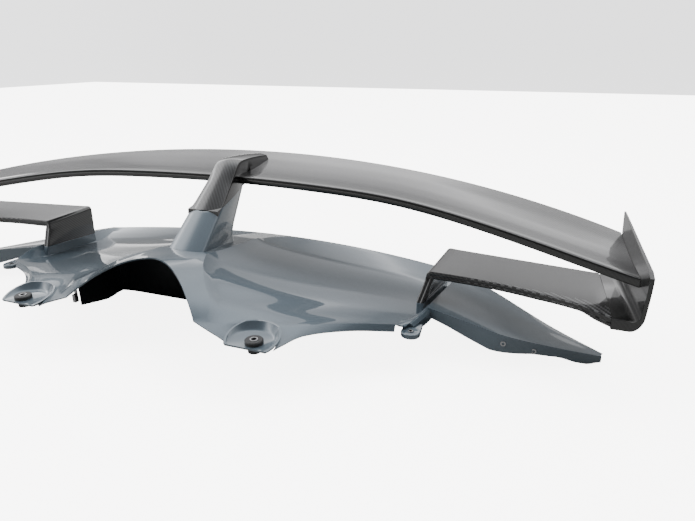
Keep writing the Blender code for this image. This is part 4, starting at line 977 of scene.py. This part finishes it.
# ---- studio -------------------------------------------------------------------------------
def area(name, place, target, size, power, colour=(1, 1, 1)):
    """A soft lamp that gives light but is not mirrored in the gloss."""
    light = bpy.data.lights.new(name, "AREA")
    light.shape = "RECTANGLE"
    light.size = size[0]
    light.size_y = size[1]
    light.energy = power
    light.color = colour
    made = bpy.data.objects.new(name, light)
    bpy.context.scene.collection.objects.link(made)
    made.location = place
    made.rotation_euler = (Vector(target) - Vector(place)).to_track_quat("-Z", "Y").to_euler()
    made.visible_glossy = False
    return made


def studio():
    """The pale floor with a painted glow on its left, the room's light, the lamps and the camera."""
    mesh = bpy.data.meshes.new("floor")
    mesh.from_pydata([(-8, -8, 0), (8, -8, 0), (8, 8, 0), (-8, 8, 0)], [], [(0, 1, 2, 3)])
    floor = bpy.data.objects.new("floor", mesh)
    floor.location.z = -0.0006
    bpy.context.scene.collection.objects.link(floor)
    made, tree, shader = start("pale floor", (0.95, 0.945, 0.94), 0.75)
    path = node(tree, "ShaderNodeLightPath")
    seen = node(tree, "ShaderNodeMix", data_type="RGBA")
    tree.links.new(path.outputs["Is Camera Ray"], seen.inputs[0])
    seen.inputs[6].default_value = (0.30, 0.30, 0.295, 1.0)
    seen.inputs[7].default_value = (0.97, 0.965, 0.955, 1.0)
    tree.links.new(seen.outputs[2], shader.inputs["Base Color"])
    shader.inputs["Emission Color"].default_value = (1.0, 0.99, 0.98, 1.0)
    spot = node(tree, "ShaderNodeNewGeometry")
    across = node(tree, "ShaderNodeSeparateXYZ")
    tree.links.new(spot.outputs["Position"], across.inputs[0])
    # The floor's left part glows for every ray, camera or not: painted light that stands in for light thrown
    # back from the room.
    painted_fill_glow = node(tree, "ShaderNodeMapRange", interpolation_type="SMOOTHSTEP")
    painted_fill_glow.inputs["From Min"].default_value = -2.2
    painted_fill_glow.inputs["From Max"].default_value = -1.1
    painted_fill_glow.inputs["To Min"].default_value = 1.6
    painted_fill_glow.inputs["To Max"].default_value = 0.0
    tree.links.new(across.outputs[0], painted_fill_glow.inputs[0])
    seen_light = maths(tree, "MULTIPLY", path.outputs["Is Camera Ray"], 6.0)
    tree.links.new(maths(tree, "MAXIMUM", seen_light, painted_fill_glow.outputs[0]), shader.inputs["Emission Strength"])
    mesh.materials.append(made)

    world = bpy.data.worlds.new("room")
    bpy.context.scene.world = world
    world.use_nodes = True
    tree = world.node_tree
    back = tree.nodes["Background"]
    place = node(tree, "ShaderNodeTexCoord")
    split = node(tree, "ShaderNodeSeparateXYZ")
    tree.links.new(place.outputs["Generated"], split.inputs[0])
    ramp = node(tree, "ShaderNodeValToRGB")
    stops = ramp.color_ramp.elements
    stops[0].position = 0.0
    stops[0].color = (0.10, 0.10, 0.10, 1)
    stops[1].position = 1.0
    stops[1].color = (0.85, 0.87, 0.90, 1)
    for at, level in ((0.50, 0.07), (0.585, 0.07), (0.66, 0.25), (0.695, 0.42), (0.735, 1.0),
                      (0.762, 0.58), (0.80, 0.42), (0.90, 0.75)):
        stop = stops.new(at)
        stop.color = (level, level, level * 1.01, 1)
    tree.links.new(maths(tree, "ADD", maths(tree, "MULTIPLY", split.outputs[2], 0.5), 0.5), ramp.inputs[0])
    sides = []
    for output, low, high, first, last in ((1, -0.35, 0.35, 0.40, 3.0), (0, -0.80, -0.32, 6.0, 0.0)):
        side = node(tree, "ShaderNodeMapRange", interpolation_type="SMOOTHSTEP")
        side.inputs["From Min"].default_value = low
        side.inputs["From Max"].default_value = high
        side.inputs["To Min"].default_value = first
        side.inputs["To Max"].default_value = last
        tree.links.new(split.outputs[output], side.inputs[0])
        sides.append(side)
    path = node(tree, "ShaderNodeLightPath")
    power = maths(tree, "MAXIMUM", sides[0].outputs[0], sides[1].outputs[0])
    power = maths(tree, "ADD", power, maths(tree, "MULTIPLY", path.outputs["Is Camera Ray"], 30.0))
    tree.links.new(power, back.inputs[1])
    tree.links.new(ramp.outputs[0], back.inputs[0])

    area("window", (-2.6, -1.0, 2.6), (0.0, 0.0, 0.1), (1.6, 1.6), 60)
    area("overhead", (0.4, 1.2, 2.8), (0.1, 0.0, 0.1), (2.6, 1.2), 45)
    area("fill", (2.8, -2.2, 1.6), (0.2, 0.0, 0.1), (1.4, 1.4), 8)

    lens = bpy.data.cameras.new("camera")
    lens.sensor_width = 36.0
    lens.lens = 28.49
    camera = bpy.data.objects.new("camera", lens)
    bpy.context.scene.collection.objects.link(camera)
    camera.location = (0.7098, -1.024, 0.56)
    camera.rotation_euler = (math.radians(90 - 20.7825), 0.0, math.radians(20.375))
    bpy.context.scene.camera = camera


dress()
make_wing()
make_pylon()
make_cap()
make_base()
for word, side in (("right", 1), ("left", -1)):
    make_winglet(word, side)
    make_endplate(word, side)
studio()
